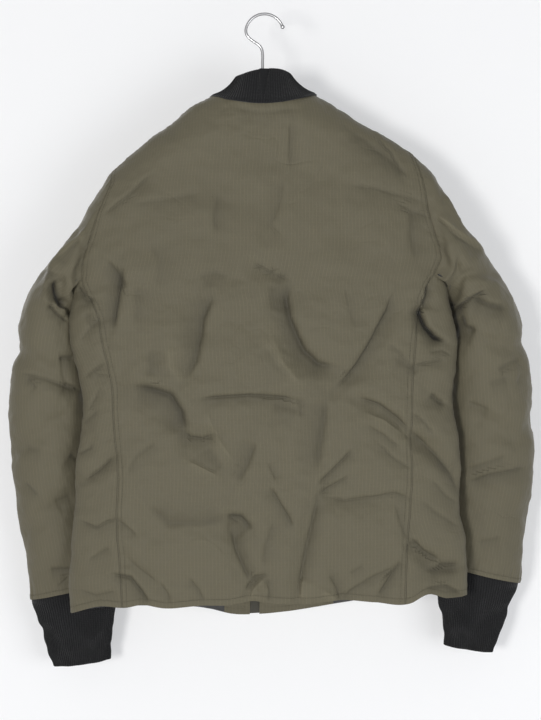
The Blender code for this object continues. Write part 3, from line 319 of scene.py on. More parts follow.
# The largest folds: a trough where deep is below 0, a ridge where it is above. The body's paths are x and z.
BACK_FOLDS = fold_table(
    (-3.5, 15, 188, -490, 150, -508, 118, -530, 94, -556, 70, -551),
    (-3.0, 16, 6, -335, -27, -350, -40, -425, -60, -455, -88, -467),
    (-3.5, 14, -95, -495, -125, -467, -146, -435, -168, -385),
    (-4.5, 12, -122, -505, -163, -527, -190, -550, -228, -574, -254, -603),
    (-4.0, 11, -205, -562, -236, -582, -256, -615), (-3.0, 14, -88, -632, -144, -639, -188, -636),
    (-4.0, 11, -62, -644, -50, -700, -43, -768), (-4.0, 11, 42, -676, 33, -722, 19, -745, 15, -770),
    (-2.5, 15, 150, -674, 54, -668, 21, -674), (-3.0, 12, 180, -710, 146, -748),
    (-4.0, 11, -194, -698, -218, -714, -250, -722), (-4.0, 11, 238, -608, 200, -580),
    (-3.0, 16, 92, -355, 92, -478),
)
FRONT_FOLDS = fold_table(
    (-4.0, 16, 196, -420, 150, -470, 90, -500), (-4.5, 15, -205, -430, -150, -490, -80, -515),
    (-3.5, 14, 170, -600, 120, -640, 60, -650), (-3.5, 14, -180, -610, -120, -660, -50, -690),
    (-3.0, 15, 120, -250, 90, -330, 80, -400), (-3.0, 15, -115, -260, -90, -340, -85, -420),
)
# Sleeve paths are the distance down the outer edge from the shoulder and the turn from that edge, in degrees
SLEEVE_FOLDS = {
    "left": fold_table(
        (-7.0, 13, 150, 95, 185, 122, 200, 140), (5.0, 12, 95, 25, 150, 55, 195, 80),
        (-6.0, 15, 265, 5, 285, 60, 300, 115), (-4.0, 14, 360, 110, 395, 60, 410, 25),
        (-5.0, 14, 480, 120, 500, 70, 520, 30), (-5.0, 16, 280, -10, 300, -70, 310, -120),
        (-5.0, 14, 440, -20, 455, -80, 450, -125), (-6.0, 15, 150, -60, 190, -90, 215, -130),
    ),
    "right": fold_table(
        (-6.0, 13, 130, 100, 170, 118, 205, 135), (-6.0, 12, 165, 95, 180, 65, 190, 35),
        (5.0, 12, 70, 35, 110, 42, 150, 30), (-6.0, 14, 290, 8, 305, 50, 300, 80),
        (-6.0, 15, 400, 8, 425, 60, 405, 105), (-4.0, 14, 500, 100, 530, 50, 525, 20),
        (-5.0, 16, 300, -10, 320, -70, 330, -120), (-5.0, 14, 450, -20, 470, -80, 460, -125),
        (-6.0, 15, 140, -60, 185, -90, 210, -130),
    ),
}
SLEEVE_GIRTH_PER_TURN = 0.85  # millimetres of cloth that one degree round a sleeve spans

# Finer creases, read from the photo: a trough where deep is below 0, a ridge where it is above. x and z.
# A negative width swaps the steep and the gentle side.
BACK_CREASES = fold_table(
    (-3.4, -7, 68, -367, 69, -377, 80, -401, 83, -423, 89, -455, 103, -483),
    (-4.2, -5, 184, -333, 191, -377, 197, -416), (-1.3, 8, 164, -357, 166, -410),
    (1.4, 11, 126, -436, 122, -463, 104, -486), (-1.5, 9, 146, -442, 148, -478),
    (-4.6, 8, 173, -489, 148, -493, 122, -500, 109, -522, 102, -551),
    (-3.0, 3.5, 109, -543, 96, -555, 80, -556, 63, -551),
    (-4.4, 6, -31, -353, -29, -377, -33, -401, -42, -424, -51, -442, -69, -459, -95, -465),
    (-1.3, 10, -10, -355, -12, -393), (-1.2, 8, 0, -436, -14, -461, -33, -481),
    (1.3, 7, -7, -419, -24, -458, -49, -489),
    (-3.2, 4, -88, -495, -106, -478, -121, -460, -132, -442, -145, -419, -160, -390, -168, -364),
    (-3.2, 3.6, 89, -506, 64, -503, 19, -500, -27, -503, -47, -509),
    (-1.6, 8, -10, -512, -28, -517, -45, -522), (-1.4, 3.5, -44, -503, -47, -529),
    (-2.6, -8, -80, -503, -77, -533, -72, -566, -67, -597), (1.2, 4, 74, -520, 63, -552, 39, -586),
    (1.8, 3, 99, -585, 61, -604), (-1.5, 9, 77, -565, 55, -597), (-2.2, -6, 11, -559, 21, -587, 34, -613),
    (-2.4, 3.5, -7, -617, -22, -643, -31, -657, -38, -673), (-1.4, 3, -5, -587, -15, -610),
    (-2.6, 3.5, -68, -617, -85, -600, -103, -582, -116, -568), (-2.0, 3, -69, -629, -85, -619, -110, -604),
    (-1.8, 3, -75, -630, -104, -636, -143, -632, -169, -627, -198, -638),
    (-2.6, 4, -71, -623, -62, -662, -54, -695, -46, -740, -41, -766), (-3.6, 6, 50, -657, 30, -658, 16, -675),
    (-2.8, 4, 43, -671, 37, -701, 26, -727, 17, -743), (-1.4, 4.5, -14, -660, -2, -695, 2, -724),
    (-1.8, -8, 151, -642, 125, -667, 83, -666, 47, -662), (-1.7, 3, 192, -661, 179, -671, 165, -683),
    (-1.3, 4, 178, -603, 165, -579, 139, -559), (-2.6, 3, 236, -610, 217, -597, 197, -579),
    (-1.8, 3, 236, -478, 221, -467, 208, -459), (-1.3, 3, 223, -474, 200, -476),
    (-1.3, 3, 214, -489, 230, -522), (-1.3, 3.5, 241, -430, 214, -398),
    (-2.2, 3.2, 243, -664, 219, -673, 203, -664, 188, -661), (-1.5, 3, 231, -717, 200, -697),
    (-3.4, 4, 200, -733, 174, -737, 161, -753, 149, -771), (-1.3, 3, 179, -711, 161, -727, 139, -744),
    (-1.6, 4, 244, -755, 219, -762, 190, -755), (-1.6, 3.5, 245, -578, 223, -566),
    (-1.3, 4, 239, -539, 218, -520), (-2.6, 3.3, -121, -503, -150, -513, -173, -530, -190, -547),
    (-2.8, 3.5, -190, -547, -207, -560, -227, -578, -252, -605), (1.1, 3, -129, -522, -155, -533, -181, -551),
    (-1.7, 3, -132, -539, -156, -553, -178, -570), (-1.5, 3, -147, -561, -169, -583, -191, -596),
    (-1.6, 3, -192, -524, -207, -534, -220, -552), (-1.9, 3, -183, -465, -212, -458, -239, -454),
    (-1.1, 3.5, -160, -433, -177, -445, -189, -460), (-1.0, 5, -104, -358, -111, -390, -119, -416),
    (-3.2, 4, -190, -686, -208, -704, -231, -717), (-3.4, 4.5, -212, -730, -234, -722, -259, -723),
    (-1.2, 9, -196, -714, -227, -730, -261, -727), (2.0, 5, -50, -736, -47, -766),
    (1.6, 6, -75, -753, -95, -766), (-1.3, 9, -170, -452, -202, -471),
    (-3.0, 5, 247, -357, 234, -375, 221, -377), (-1.6, 6, 234, -393, 223, -416),
    (-2.8, 4, -211, -752, -238, -750, -262, -762), (-2.6, 4, -178, -714, -161, -740, -146, -763),
    (-1.5, 4, -202, -635, -220, -651, -257, -674), (-1.4, 4, -170, -640, -178, -669, -186, -689),
    (-1.5, 3.5, -218, -610, -238, -632, -256, -643),
    (-9.0, 3.3, -204, -382, -203, -393, -211, -411, -225, -425, -238, -431),
    (-5.0, 2.6, -213, -356, -210, -372, -205, -390), (-1.6, 3.5, -215, -445, -233, -442, -246, -450),
    (-3.5, 5, -218, -498, -227, -507, -239, -513), (-1.8, 3.5, -98, -766, -113, -753, -139, -737, -172, -722),
    (-2.0, 3.5, -84, -732, -93, -748, -99, -767), (1.8, 4, 19, -767, 13, -750, 0, -737),
    (-2.4, 4, 24, -753, 13, -736, -5, -732), (-1.8, 3.2, -2, -737, -7, -753, -5, -768),
    (-1.6, 3, 98, -737, 85, -752, 78, -768), (-1.4, 3, 135, -744, 125, -758, 122, -770),
    (-1.2, 3.5, -111, -731, -130, -721), (-1.7, 3, -33, -145, -33, -204),
    (-1.2, -5, -25, -217, -20, -248, -14, -267, -3, -287), (-1.6, 5, 59, -237, 64, -267, 63, -292),
    (-1.9, 3.5, 212, -266, 181, -244, 146, -211), (-1.1, 6, 174, -253, 122, -245, 78, -237),
    (-2.4, 5, 205, -325, 191, -341, 179, -362), (-2.2, 3, 16, -328, -5, -338, -31, -351),
    (-1.4, 7, 86, -347, 64, -342, 45, -347), (-1.6, 4, -108, -227, -143, -231, -176, -240, -211, -249),
    (-1.4, 3, -173, -250, -195, -261, -217, -270), (-1.9, 9, -104, -152, -137, -173, -163, -193, -191, -219),
    (-1.4, 3, -146, -162, -167, -183, -183, -214), (-1.7, 8, -194, -252, -191, -293, -199, -328),
    (-1.0, 3, -9, -279, -22, -292), (-1.0, 8, 148, -300, 135, -328, 138, -364),
    (-1.2, 6, 42, -126, 3, -134, -46, -129),
)
SLEEVE_CREASES = {
    "left": fold_table(
        (-7.0, 4.5, 274, -350, 270, -362, 264, -376, 255, -386), (-3.6, 3.2, 283, -383, 269, -396, 255, -405),
        (2.4, 4, 274, -380, 255, -393), (-2.2, 4, 326, -472, 288, -480, 244, -496),
        (-3.0, 4, 263, -485, 244, -494), (-1.6, 4, 315, -477, 300, -493), (-3.2, 6, 270, -454, 251, -451),
        (-2.4, 5, 257, -580, 246, -589), (1.6, 4, 232, -284, 270, -322), (-1.4, 4, 237, -295, 271, -329),
        (-1.8, 4, 307, -351, 288, -339, 266, -346), (-1.8, 4, 320, -617, 301, -635),
        (-2.4, 5, 287, -735, 255, -733), (-1.4, 3, 276, -757, 261, -744), (-1.2, 6, 321, -571, 295, -576),
        (-1.3, 6, 279, -645, 255, -635),
    ),
    "right": fold_table(
        (-2.2, 3.5, -217, -266, -252, -295, -290, -320), (1.4, 4, -223, -263, -259, -292, -295, -316),
        (-6.0, 4, -237, -371, -238, -395, -234, -414, -253, -427), (-3.6, 3.5, -240, -393, -292, -362),
        (-3.4, 7, -271, -374, -295, -383, -322, -387), (-3.6, 7, -254, -397, -262, -412, -278, -418),
        (-1.8, 5, -305, -469, -343, -451), (-1.4, 7, -295, -487, -322, -479),
        (-2.6, 5, -266, -619, -299, -607, -353, -598), (-1.6, 5, -266, -601, -322, -582),
        (-1.3, 5, -267, -510, -296, -521), (-1.2, 4, -336, -488, -340, -471),
        (-1.3, 6, -283, -698, -316, -691),
    ),
}

# The front's creases: the same kinds as the back's, fanning from the armholes and pulling at the zip
FRONT_CREASES = fold_table(
    (-2.2, 5, 205, -372, 168, -402, 120, -420), (-2.6, 5, 210, -402, 176, -442, 132, -470),
    (-1.8, 4, 196, -470, 150, -486, 96, -484), (-2.0, 5, -198, -372, -160, -410, -118, -432),
    (-2.6, 5, -206, -412, -170, -452, -120, -480, -84, -488), (-1.8, 4, -196, -486, -150, -502, -98, -500),
    (-1.6, 4, 24, -300, 52, -318, 90, -322), (-1.6, 4, 22, -412, 60, -430, 96, -428),
    (-2.0, 4, 26, -528, 66, -548, 118, -552), (-1.6, 4, 28, -634, 70, -650, 112, -646),
    (-1.6, 4, -16, -286, -50, -306, -84, -310), (-1.8, 4, -14, -404, -52, -424, -90, -426),
    (-2.0, 4, -10, -540, -52, -562, -104, -566), (-1.6, 4, -6, -648, -46, -666, -96, -664),
    (-2.4, 5, 232, -600, 196, -622, 150, -628), (-2.4, 5, -238, -612, -200, -634, -150, -640),
    (-2.4, 4, 150, -742, 144, -762, 140, -790), (-2.4, 4, 84, -744, 80, -766, 80, -794),
    (-2.4, 4, -72, -744, -70, -764, -72, -792), (-2.4, 4, -150, -734, -154, -754, -152, -780),
    (-1.6, 6, 104, -190, 96, -240, 98, -292), (-1.6, 6, -98, -188, -92, -236, -94, -290),
)

# The front side of the sleeves: the same kinds of creases, at the underarm and the elbow
SLEEVE_FRONT_CREASES = {
    "left": fold_table(
        (-4.5, 5, 262, -352, 268, -378, 252, -392), (-3.0, 4, 286, -372, 268, -400, 250, -412),
        (-2.2, 4, 324, -468, 290, -486, 250, -486), (-2.0, 4, 316, -500, 288, -508, 252, -528),
        (-2.0, 5, 322, -590, 290, -612, 250, -604), (-1.8, 5, 306, -690, 276, -700, 246, -688),
        (1.6, 5, 236, -282, 274, -318),
    ),
    "right": fold_table(
        (-4.5, 5, -252, -352, -262, -380, -246, -396), (-3.0, 4, -284, -366, -268, -396, -248, -410),
        (-2.2, 4, -340, -450, -306, -470, -262, -472), (-2.0, 5, -350, -560, -312, -580, -270, -576),
        (-2.0, 4, -346, -612, -310, -622, -268, -640), (-1.8, 5, -330, -690, -296, -700, -262, -690),
        (1.6, 5, -232, -268, -270, -300),
    ),
}


# ---- Curves and fields ----


def smooth(at, keys, values):
    """A smooth curve through the values: cubic between neighbours, with each slope taken from both sides."""
    order = np.argsort(keys)
    keys, values = np.asarray(keys, float)[order], np.asarray(values, float)[order]
    slopes = np.gradient(values, keys)
    at = np.clip(at, keys[0], keys[-1])
    low = np.clip(np.searchsorted(keys, at, side="right") - 1, 0, len(keys) - 2)
    step = keys[low + 1] - keys[low]
    f = (at - keys[low]) / step
    return (
        values[low] * (1 + 2 * f) * (1 - f) ** 2
        + values[low + 1] * f**2 * (3 - 2 * f)
        + slopes[low] * step * f * (1 - f) ** 2
        - slopes[low + 1] * step * f**2 * (1 - f)
    )


def column(source, name, at, key="z"):
    """One column of a table, read at any place along its key."""
    return smooth(at, source[key], source[name])


def ease(f):
    """From 0 to 1 with no kink at either end: 3 f squared less 2 f cubed."""
    f = np.clip(f, 0, 1)
    return f * f * (3 - 2 * f)


def bell(distance, width):
    """A bell curve: 1 at no distance, e to the minus 1 at the width."""
    return np.exp(-((distance / width) ** 2))


def run_along(points):
    """How far each point is from the first one, along the line through all of them."""
    return np.concatenate([[0], np.cumsum(np.linalg.norm(np.diff(points, axis=0), axis=1))])


def read_along(at, run, points):
    """The points of a line at other distances along it."""
    return np.stack([np.interp(at, run, points[:, k]) for k in range(points.shape[1])], axis=-1)


def unit(vectors):
    length = np.linalg.norm(vectors, axis=-1, keepdims=True)
    return vectors / np.maximum(length, 1e-9)


def distance_to_path(x, y, path):
    """Each point's distance from a path of straight stretches, and its nearest place along it, from 0 to 1.

    The distance is below 0 on the path's upper side.
    """
    nearest = np.full(np.shape(x), np.inf)
    share, side = np.zeros(np.shape(x)), np.ones(np.shape(x))
    passed = 0.0
    whole = np.subtract(path[-1], path[0])
    lower = 1 if whole[1] * LOWER_WAY[0] - whole[0] * LOWER_WAY[1] > 0 else -1
    for (x0, y0), (x1, y1) in zip(path, path[1:]):
        run = np.array((x1 - x0, y1 - y0), float)
        length = np.hypot(*run)
        along = np.clip(((x - x0) * run[0] + (y - y0) * run[1]) / length**2, 0, 1)
        off_x, off_y = x - x0 - along * run[0], y - y0 - along * run[1]
        distance = np.hypot(off_x, off_y)
        here = np.where((off_x * run[1] - off_y * run[0]) * lower > 0, 1.0, -1.0)
        share = np.where(distance < nearest, passed + along * length, share)
        side = np.where(distance < nearest, here, side)
        nearest = np.minimum(nearest, distance)
        passed += length
    return nearest * side, share / passed


def fold_height(x, y, folds):
    """The sum of all folds: each falls away from its path as a bell curve."""
    height = np.zeros(np.shape(x))
    for fold in folds:
        height += fold["deep"] * bell(distance_to_path(x, y, fold["path"])[0], fold["wide"])
    return height


def crease_ends(share):
    """From 0 at both ends of a crease to 1 over most of its length."""
    return ease(share / CREASE_TAPER) * ease((1 - share) / CREASE_TAPER)


def crease_height(x, y, creases, lean=CREASE_LEAN):
    """The sum of all creases: bell curves with a steep side and a gentle one, weaker at both ends.

    Lean holds how steep the two sides are.
    """
    height = np.zeros(np.shape(x))
    for crease in creases:
        distance, share = distance_to_path(x, y, crease["path"])
        wide, distance = abs(crease["wide"]), distance * np.sign(crease["wide"])
        leaning = np.maximum(distance * lean[0], -distance * lean[1])
        height += crease["deep"] * bell(leaning, wide) * (CREASE_END + (1 - CREASE_END) * crease_ends(share))
    return height


def crease_painted_shade(x, y, creases):
    """The same, for the shade painted into the colour beside each crease."""
    return crease_height(x, y, creases, PAINTED_SHADE_LEAN)


def nearest_crease(x, y, creases):
    """For each point, its distance from the nearest crease, in widths, and that crease's depth there.

    The depth dies out between 2 and 4 widths away, so that the shader's lines stay on their own creases.
    """
    nearest = np.full(np.shape(x), FAR)
    depth = np.zeros(np.shape(x))
    for crease in creases:
        distance, share = distance_to_path(x, y, crease["path"])
        place = distance / (CREASE_CORE * crease["wide"])  # its sign swaps with the width's
        closer = np.abs(place) < np.abs(nearest)
        depth = np.where(closer, crease["deep"] * crease_ends(share), depth)
        nearest = np.where(closer, place, nearest)
    return nearest, depth * (1 - ease((np.abs(nearest) - 2.0) / 2.0))


def waves(points, seed, count, shortest, longest, height):
    """Plane waves through space, summed: each wave's height goes with its length, its place is seeded."""
    chance = np.random.default_rng(seed)
    length = shortest * (longest / shortest) ** chance.random(count)
    way = unit(chance.normal(size=(count, 3)))
    phase = chance.random(count) * TURN
    each = height * length / longest
    total = np.zeros(len(points))
    for k in range(count):
        total += each[k] * np.sin(points @ way[k] * (TURN / length[k]) + phase[k])
    return total


def ripple(along, seed, longest):
    """A wave along a line whose pitch wanders: three sines of related lengths, summed and kept within 1."""
    phase = np.random.default_rng(seed).random(3) * TURN
    turn = TURN * along / longest
    first, second = np.sin(turn + phase[0]), np.sin(1.7 * turn + phase[1])
    return (first + second + 0.7 * np.sin(2.9 * turn + phase[2])) / 2.7


# ---- Body ----


def half_width(x, z):
    """How wide the body is at a height, from its middle to the side that x is on."""
    return np.where(x >= 0, column(BODY, "left", z), column(BODY, "right", z))


def body_point(turn, z):
    """A point of the body's section at a height: turn 0 is the left edge, a quarter turn is the back."""
    across, deep = np.cos(turn), np.sin(turn)
    half_depth = np.where(deep >= 0, column(BODY, "back", z), column(BODY, "front", z))
    power = np.where(deep >= 0, BACK_POWER, FRONT_POWER)
    x = half_width(across, z) * np.sign(across) * np.abs(across) ** (2 / power)
    y = column(BODY, "middle", z) + half_depth * np.sign(deep) * np.abs(deep) ** (2 / power)
    return x, y


def turn_at(x, z, side):
    """The turn at which the section has this x, at the back or at the front."""
    power = BACK_POWER if side == "back" else FRONT_POWER
    turn = np.arccos(np.sign(x) * np.clip(np.abs(x) / half_width(x, z), 0, 1) ** (power / 2))
    return turn if side == "back" else TURN - turn


def upper_y(x, z, side):
    """How deep the body is above the underarm: its section, rolled in towards the shoulder line."""
    power = BACK_POWER if side == "back" else FRONT_POWER
    fall = np.clip((column(SHOULDER, "z", x, key="x") - z) / SHOULDER_ROLL, 0, 1)
    roll = np.sqrt(1 - (1 - fall) ** 2)
    bow = (1 - np.clip(np.abs(x) / half_width(x, z), 0, 1) ** power) ** (1 / power)
    sign = 1 if side == "back" else -1
    return column(BODY, "middle", z) + sign * column(BODY, side, z) * bow * roll


def even_turns(z, start, end, steps):
    """Turns that part the section between two turns into even lengths, one row for each height."""
    fine = start[:, None] + (end - start)[:, None] * np.linspace(0, 1, FINE_COLUMNS)
    x, y = body_point(fine, z[:, None])
    run = np.cumsum(np.hypot(np.diff(x, axis=1), np.diff(y, axis=1)), axis=1)
    run = np.hstack([np.zeros((len(z), 1)), run])
    return np.array([np.interp(np.linspace(0, r[-1], steps + 1), r, f) for r, f in zip(run, fine)])


def zip_middle(z):
    """The x of the zip's middle: 0 at the neck, shifted at the hem."""
    return ZIP_SHIFT_AT_HEM * np.clip((z - FRONT_NECK["z"][-1]) / (ZIP_HEM - FRONT_NECK["z"][-1]), 0, 1)


def underarm_z(x):
    """The height of the row at the underarm, which tilts a little."""
    return UNDERARM - UNDERARM_TILT * x / UNDERARM_HALF_WIDTH


def lower_grid(turns, top_z, hem_z):
    """Rows from the underarm to the hem; the turns say where each column lies in its row."""
    f = np.linspace(0, 1, len(turns))[:, None]
    z = top_z + (hem_z - top_z) * f
    x, y = body_point(turns, z)
    return np.stack([x, y, z], axis=-1)


def coons(bottom, top, near, far):
    """The even patch between four edges: both ruled surfaces added, less the one through the corners."""
    u = np.linspace(0, 1, len(bottom))[None, :, None]
    v = upper_rows()[:, None, None]
    ruled = (1 - v) * bottom[None] + v * top[None]
    cross = (1 - u) * near[:, None] + u * far[:, None]
    corners = (1 - v) * ((1 - u) * bottom[0] + u * bottom[-1]) + v * ((1 - u) * top[0] + u * top[-1])
    return ruled + cross - corners


def edge_curve(start, middle, end):
    """A curve from start to end through a table's points, read at each row's share of its length."""
    points = np.vstack([start, np.stack([middle["x"], middle["z"]], axis=-1), end])
    run = run_along(points)
    return np.stack([smooth(upper_rows() * run[-1], run, points[:, k]) for k in (0, 1)], axis=-1)


def mirrored(source, sign):
    """The same table with its x on the side that the sign gives."""
    return {"x": source["x"] * sign, "z": source["z"]}


def upper_rows():
    """Where the rows above the underarm lie, from 0 to 1, closer together near the top."""
    return 1 - (1 - np.linspace(0, 1, UPPER_ROWS + 1)) ** ROW_CROWDING


def shoulder_line(side):
    """Points from the shoulder point to the neck point."""
    x = np.linspace(SHOULDER_POINT[side], NECK_POINT[side], SHOULDER_COLUMNS + 1)
    return np.stack([x, column(SHOULDER, "z", x, key="x")], axis=-1)


def upper_grid(row, top, near, far, side):
    """The cloth above the underarm: an even patch from a row of points up, laid on the body's shape."""
    flat = coons(row[:, [0, 2]], top, near, far)
    across, up = flat[..., 0], flat[..., 1]
    grid = np.stack([across, upper_y(across, up, side), up], axis=-1)
    grid[0] = row
    return grid


def lower_heights():
    """The heights of the rows below the underarm, before the underarm's tilt and the hem's shape."""
    return np.linspace(UNDERARM, HEM, LOWER_ROWS + 1)


def back_lower():
    """The back between its two seams, from the underarm to the hem."""
    z = lower_heights()
    left, right = column(BACK_SEAM, "left", z), -column(BACK_SEAM, "right", z)
    share = np.linspace(0, 1, 2 * SHOULDER_COLUMNS + BACK_NECK_COLUMNS + 1)
    x = left[:, None] + (right - left)[:, None] * share
    turns = turn_at(x, z[:, None], "back")
    return lower_grid(turns, underarm_z(x[0]), column(BACK_HEM, "z", x[-1], key="x"))


def back_upper(row):
    """The back between its armholes, from its row at the underarm to the shoulders and the neck."""
    neck_x = np.linspace(NECK_POINT["left"], NECK_POINT["right"], BACK_NECK_COLUMNS + 1)
    neck = np.stack([neck_x, column(BACK_NECK, "z", neck_x, key="x")], axis=-1)
    top = np.vstack([shoulder_line("left"), neck[1:-1], shoulder_line("right")[::-1]])
    near = edge_curve(row[0, [0, 2]], ARMHOLE_BACK_LEFT, top[0])
    far = edge_curve(row[-1, [0, 2]], mirrored(ARMHOLE_BACK_RIGHT, -1), top[-1])
    return upper_grid(row, top, near, far, "back")


def front_turns(side, z):
    """The turns of a front's columns: round the side from the back seam to the armhole, and on to the zip."""
    sign = SIDES[side]
    seam = turn_at(sign * column(BACK_SEAM, side, z), z, "back")
    armhole = turn_at(np.full(len(z), sign * FRONT_ARMHOLE_X[side]), z, "front")
    edge = turn_at(zip_middle(z) + sign * ZIP_EDGE, z, "front")
    if side == "left":
        armhole, edge = armhole - TURN, edge - TURN
    round_side = even_turns(z, seam, armhole, SIDE_COLUMNS)
    to_zip = even_turns(z, armhole, edge, SHOULDER_COLUMNS + FRONT_NECK_COLUMNS)
    return np.hstack([round_side, to_zip[:, 1:]])


def front_lower(side):
    """A front from the underarm to the hem, which wraps round the side to the back seam."""
    z = lower_heights()
    turns = front_turns(side, z)
    hem_x, hem_y = body_point(turns[-1], z[-1:])
    at_back = hem_y > column(BODY, "middle", HEM)
    hem = np.where(at_back, column(BACK_HEM, "z", hem_x, key="x"), column(FRONT_HEM, "z", hem_x, key="x"))
    top_x, _ = body_point(turns[0], z[:1])
    dip = np.zeros(len(hem_x))
    dip[: SIDE_COLUMNS + 1] = UNDERARM_DIP * np.sin(np.linspace(0, math.pi, SIDE_COLUMNS + 1))
    return lower_grid(turns, underarm_z(top_x) - dip, hem)


def front_upper(row, side):
    """A front between its armhole and the zip, from its row at the underarm to the shoulder and the neck."""
    sign = SIDES[side]
    line = shoulder_line(side)
    neck_end = sign * ZIP_EDGE
    neck_turn = np.linspace(0, math.pi / 2, FRONT_NECK_COLUMNS + 1)[1:]
    neck_x = neck_end + (line[-1, 0] - neck_end) * np.cos(neck_turn)
    like_x = np.abs(neck_x) / abs(NECK_POINT[side]) * FRONT_NECK["x"][0]
    neck_z = line[-1, 1] + column(FRONT_NECK, "z", like_x, key="x") - FRONT_NECK["z"][0]
    top = np.vstack([line, np.stack([neck_x, neck_z], axis=-1)])
    first, last = row[0, [0, 2]], row[-1, [0, 2]]
    near = edge_curve(first, mirrored(ARMHOLE_FRONT, sign), top[0])
    far = last + (top[-1] - last) * upper_rows()[:, None]
    return upper_grid(row, top, near, far, "front")


BODY_FOLDS = (BACK_FOLDS, FRONT_FOLDS)
BODY_CREASES = (BACK_CREASES, FRONT_CREASES)


def body_height(points, normals, back, front, shape):
    """The folds' height on the side that each point faces; both sides' heights fade out at the edges."""
    low, high = FOLD_FACING
    x, z, facing = points[:, 0], points[:, 2], normals[:, 1]
    height = shape(x, z, back) * ease((facing - low) / (high - low))
    return height + shape(x, z, front) * ease((-facing - low) / (high - low))


# ---- Sleeves and cuffs ----


def ovals(source, at, key, turns, sign):
    """Ovals between an outer and an inner edge: turn 0 is the outer edge and a quarter turn is the back."""
    outer = np.stack([column(source, "outer_x", at, key) * sign, column(source, "outer_z", at, key)], axis=-1)
    inner = np.stack([column(source, "inner_x", at, key) * sign, column(source, "inner_z", at, key)], axis=-1)
    middle = (outer + inner) / 2
    reach = (outer - inner) / 2
    flat = middle[:, None] + reach[:, None] * np.cos(turns)[None, :, None]
    depth = column(source, "half_depth", at, key)[:, None] * np.sin(turns)
    return np.stack([flat[..., 0], column(source, "middle", at, key)[:, None] + depth, flat[..., 1]], axis=-1)


def with_run(source):
    """The same table with a column for the distance down the outer edge."""
    return {**source, "run": run_along(np.stack([source["outer_x"], source["outer_z"]], axis=-1))}


def sleeve_turns():
    """The turns of a sleeve's columns: the back armhole's, the underarm's, and the front armhole's."""
    back, side_arc = math.radians(SLEEVE_BACK_TURN), math.radians(SLEEVE_SIDE_TURN)
    return np.concatenate(
        [
            np.linspace(0, back, UPPER_ROWS + 1),
            np.linspace(back, back + side_arc, SIDE_COLUMNS + 1)[1:],
            np.linspace(back + side_arc, TURN, UPPER_ROWS + 1)[1:],
        ]
    )


def sleeve_grid(side, armhole):
    """Rings from the armhole's own points to the cuff seam, and the height of the folds on them."""
    source = with_run(SLEEVE[side])
    length = source["run"][-1]
    at = np.linspace(0, length, SLEEVE_ROWS + 1)
    turns = sleeve_turns()
    rings = ovals(source, at, "run", turns, SIDES[side])
    fade = 1 - ease(at / (ARMHOLE_FADE * length))
    rings = rings + (armhole - rings[0])[None] * fade[:, None, None]
    rings[:, -1] = rings[:, 0]
    degrees = np.degrees(np.where(turns > math.pi, turns - TURN, turns))
    down, round_ = np.meshgrid(at, degrees * SLEEVE_GIRTH_PER_TURN, indexing="ij")
    folds = [
        {**fold, "path": tuple((run, turn * SLEEVE_GIRTH_PER_TURN) for run, turn in fold["path"])}
        for fold in SLEEVE_FOLDS[side]
    ]
    shown = ease(at / FOLD_EASE[0]) * ease((length - at) / FOLD_EASE[1])
    height = fold_height(down, round_, folds) * shown[:, None]
    height[:, -1] = height[:, 0]
    return rings, height


def armhole_loop(back, front, side_row, side):
    """The armhole: down the back's edge, under the arm, and up the front's edge, as one closed ring."""
    edge = 0 if side == "left" else -1
    return np.vstack([back[::-1, edge], side_row[1 : SIDE_COLUMNS + 1], front[1:, 0]])


# ---- Sheets: points, four-sided faces and the cloth's own coordinates ----


def run_across(grid):
    """How far each point is from its row's first point, along the row."""
    step = np.linalg.norm(np.diff(grid, axis=1), axis=-1)
    return np.hstack([np.zeros((len(grid), 1)), np.cumsum(step, axis=1)])


def run_down(grid):
    """How far each point is from its column's first point, along the column."""
    return run_across(grid.transpose(1, 0, 2)).T


def grid_faces(shape, flip=False):
    """Four-sided faces between a grid's neighbours. A row is the first index."""
    index = np.arange(shape[0] * shape[1]).reshape(shape[:2])
    faces = np.stack([index[:-1, :-1], index[1:, :-1], index[1:, 1:], index[:-1, 1:]], axis=-1).reshape(-1, 4)
    return faces[:, ::-1] if flip else faces


def welded(grids):
    """Grids, each with its flip and its cloth coordinates, as one sheet whose coinciding points are one."""
    flat = np.vstack([grid.reshape(-1, 3) for grid, _, _ in grids])
    faces, weave, start, spans = [], [], 0, []
    for grid, flip, cloth in grids:
        own = grid_faces(grid.shape, flip)
        faces.append(own + start)
        weave.append(cloth.reshape(-1, 2)[own])
        spans.append((start, grid.shape[:2]))
        start += grid.shape[0] * grid.shape[1]
    _, first, index = np.unique(np.round(flat, 2), axis=0, return_index=True, return_inverse=True)
    index = index.reshape(-1)
    places = [index[begin : begin + r * c].reshape(r, c) for begin, (r, c) in spans]
    return {
        "points": flat[first],
        "faces": index[np.vstack(faces)],
        "weave": np.vstack(weave),
        "places": places,
    }


def point_normals(points, faces):
    """Each point's normal, not yet of unit length: the sum over its faces, by area."""
    corners = points[faces]
    normal = np.cross(corners[:, 2] - corners[:, 0], corners[:, 3] - corners[:, 1])
    total = np.zeros_like(points)
    for k in range(4):
        np.add.at(total, faces[:, k], normal)
    return total


def wall_faces(faces, count):
    """The faces of a closed wall: the outer ones, the inner ones turned round, and the rims between them."""
    a, b = boundary_edges(faces).T
    rims = np.stack([b, a, a + count, b + count], axis=-1)
    return np.vstack([faces, faces[:, ::-1] + count, rims])


def boundary_edges(faces):
    """Edges with one face only, in the direction that their face runs."""
    edges = np.vstack([faces[:, [k, (k + 1) % 4]] for k in range(4)]).astype(np.int64)
    many = faces.max() + 1
    there, back = edges[:, 0] * many + edges[:, 1], edges[:, 1] * many + edges[:, 0]
    return edges[~np.isin(there, back)]


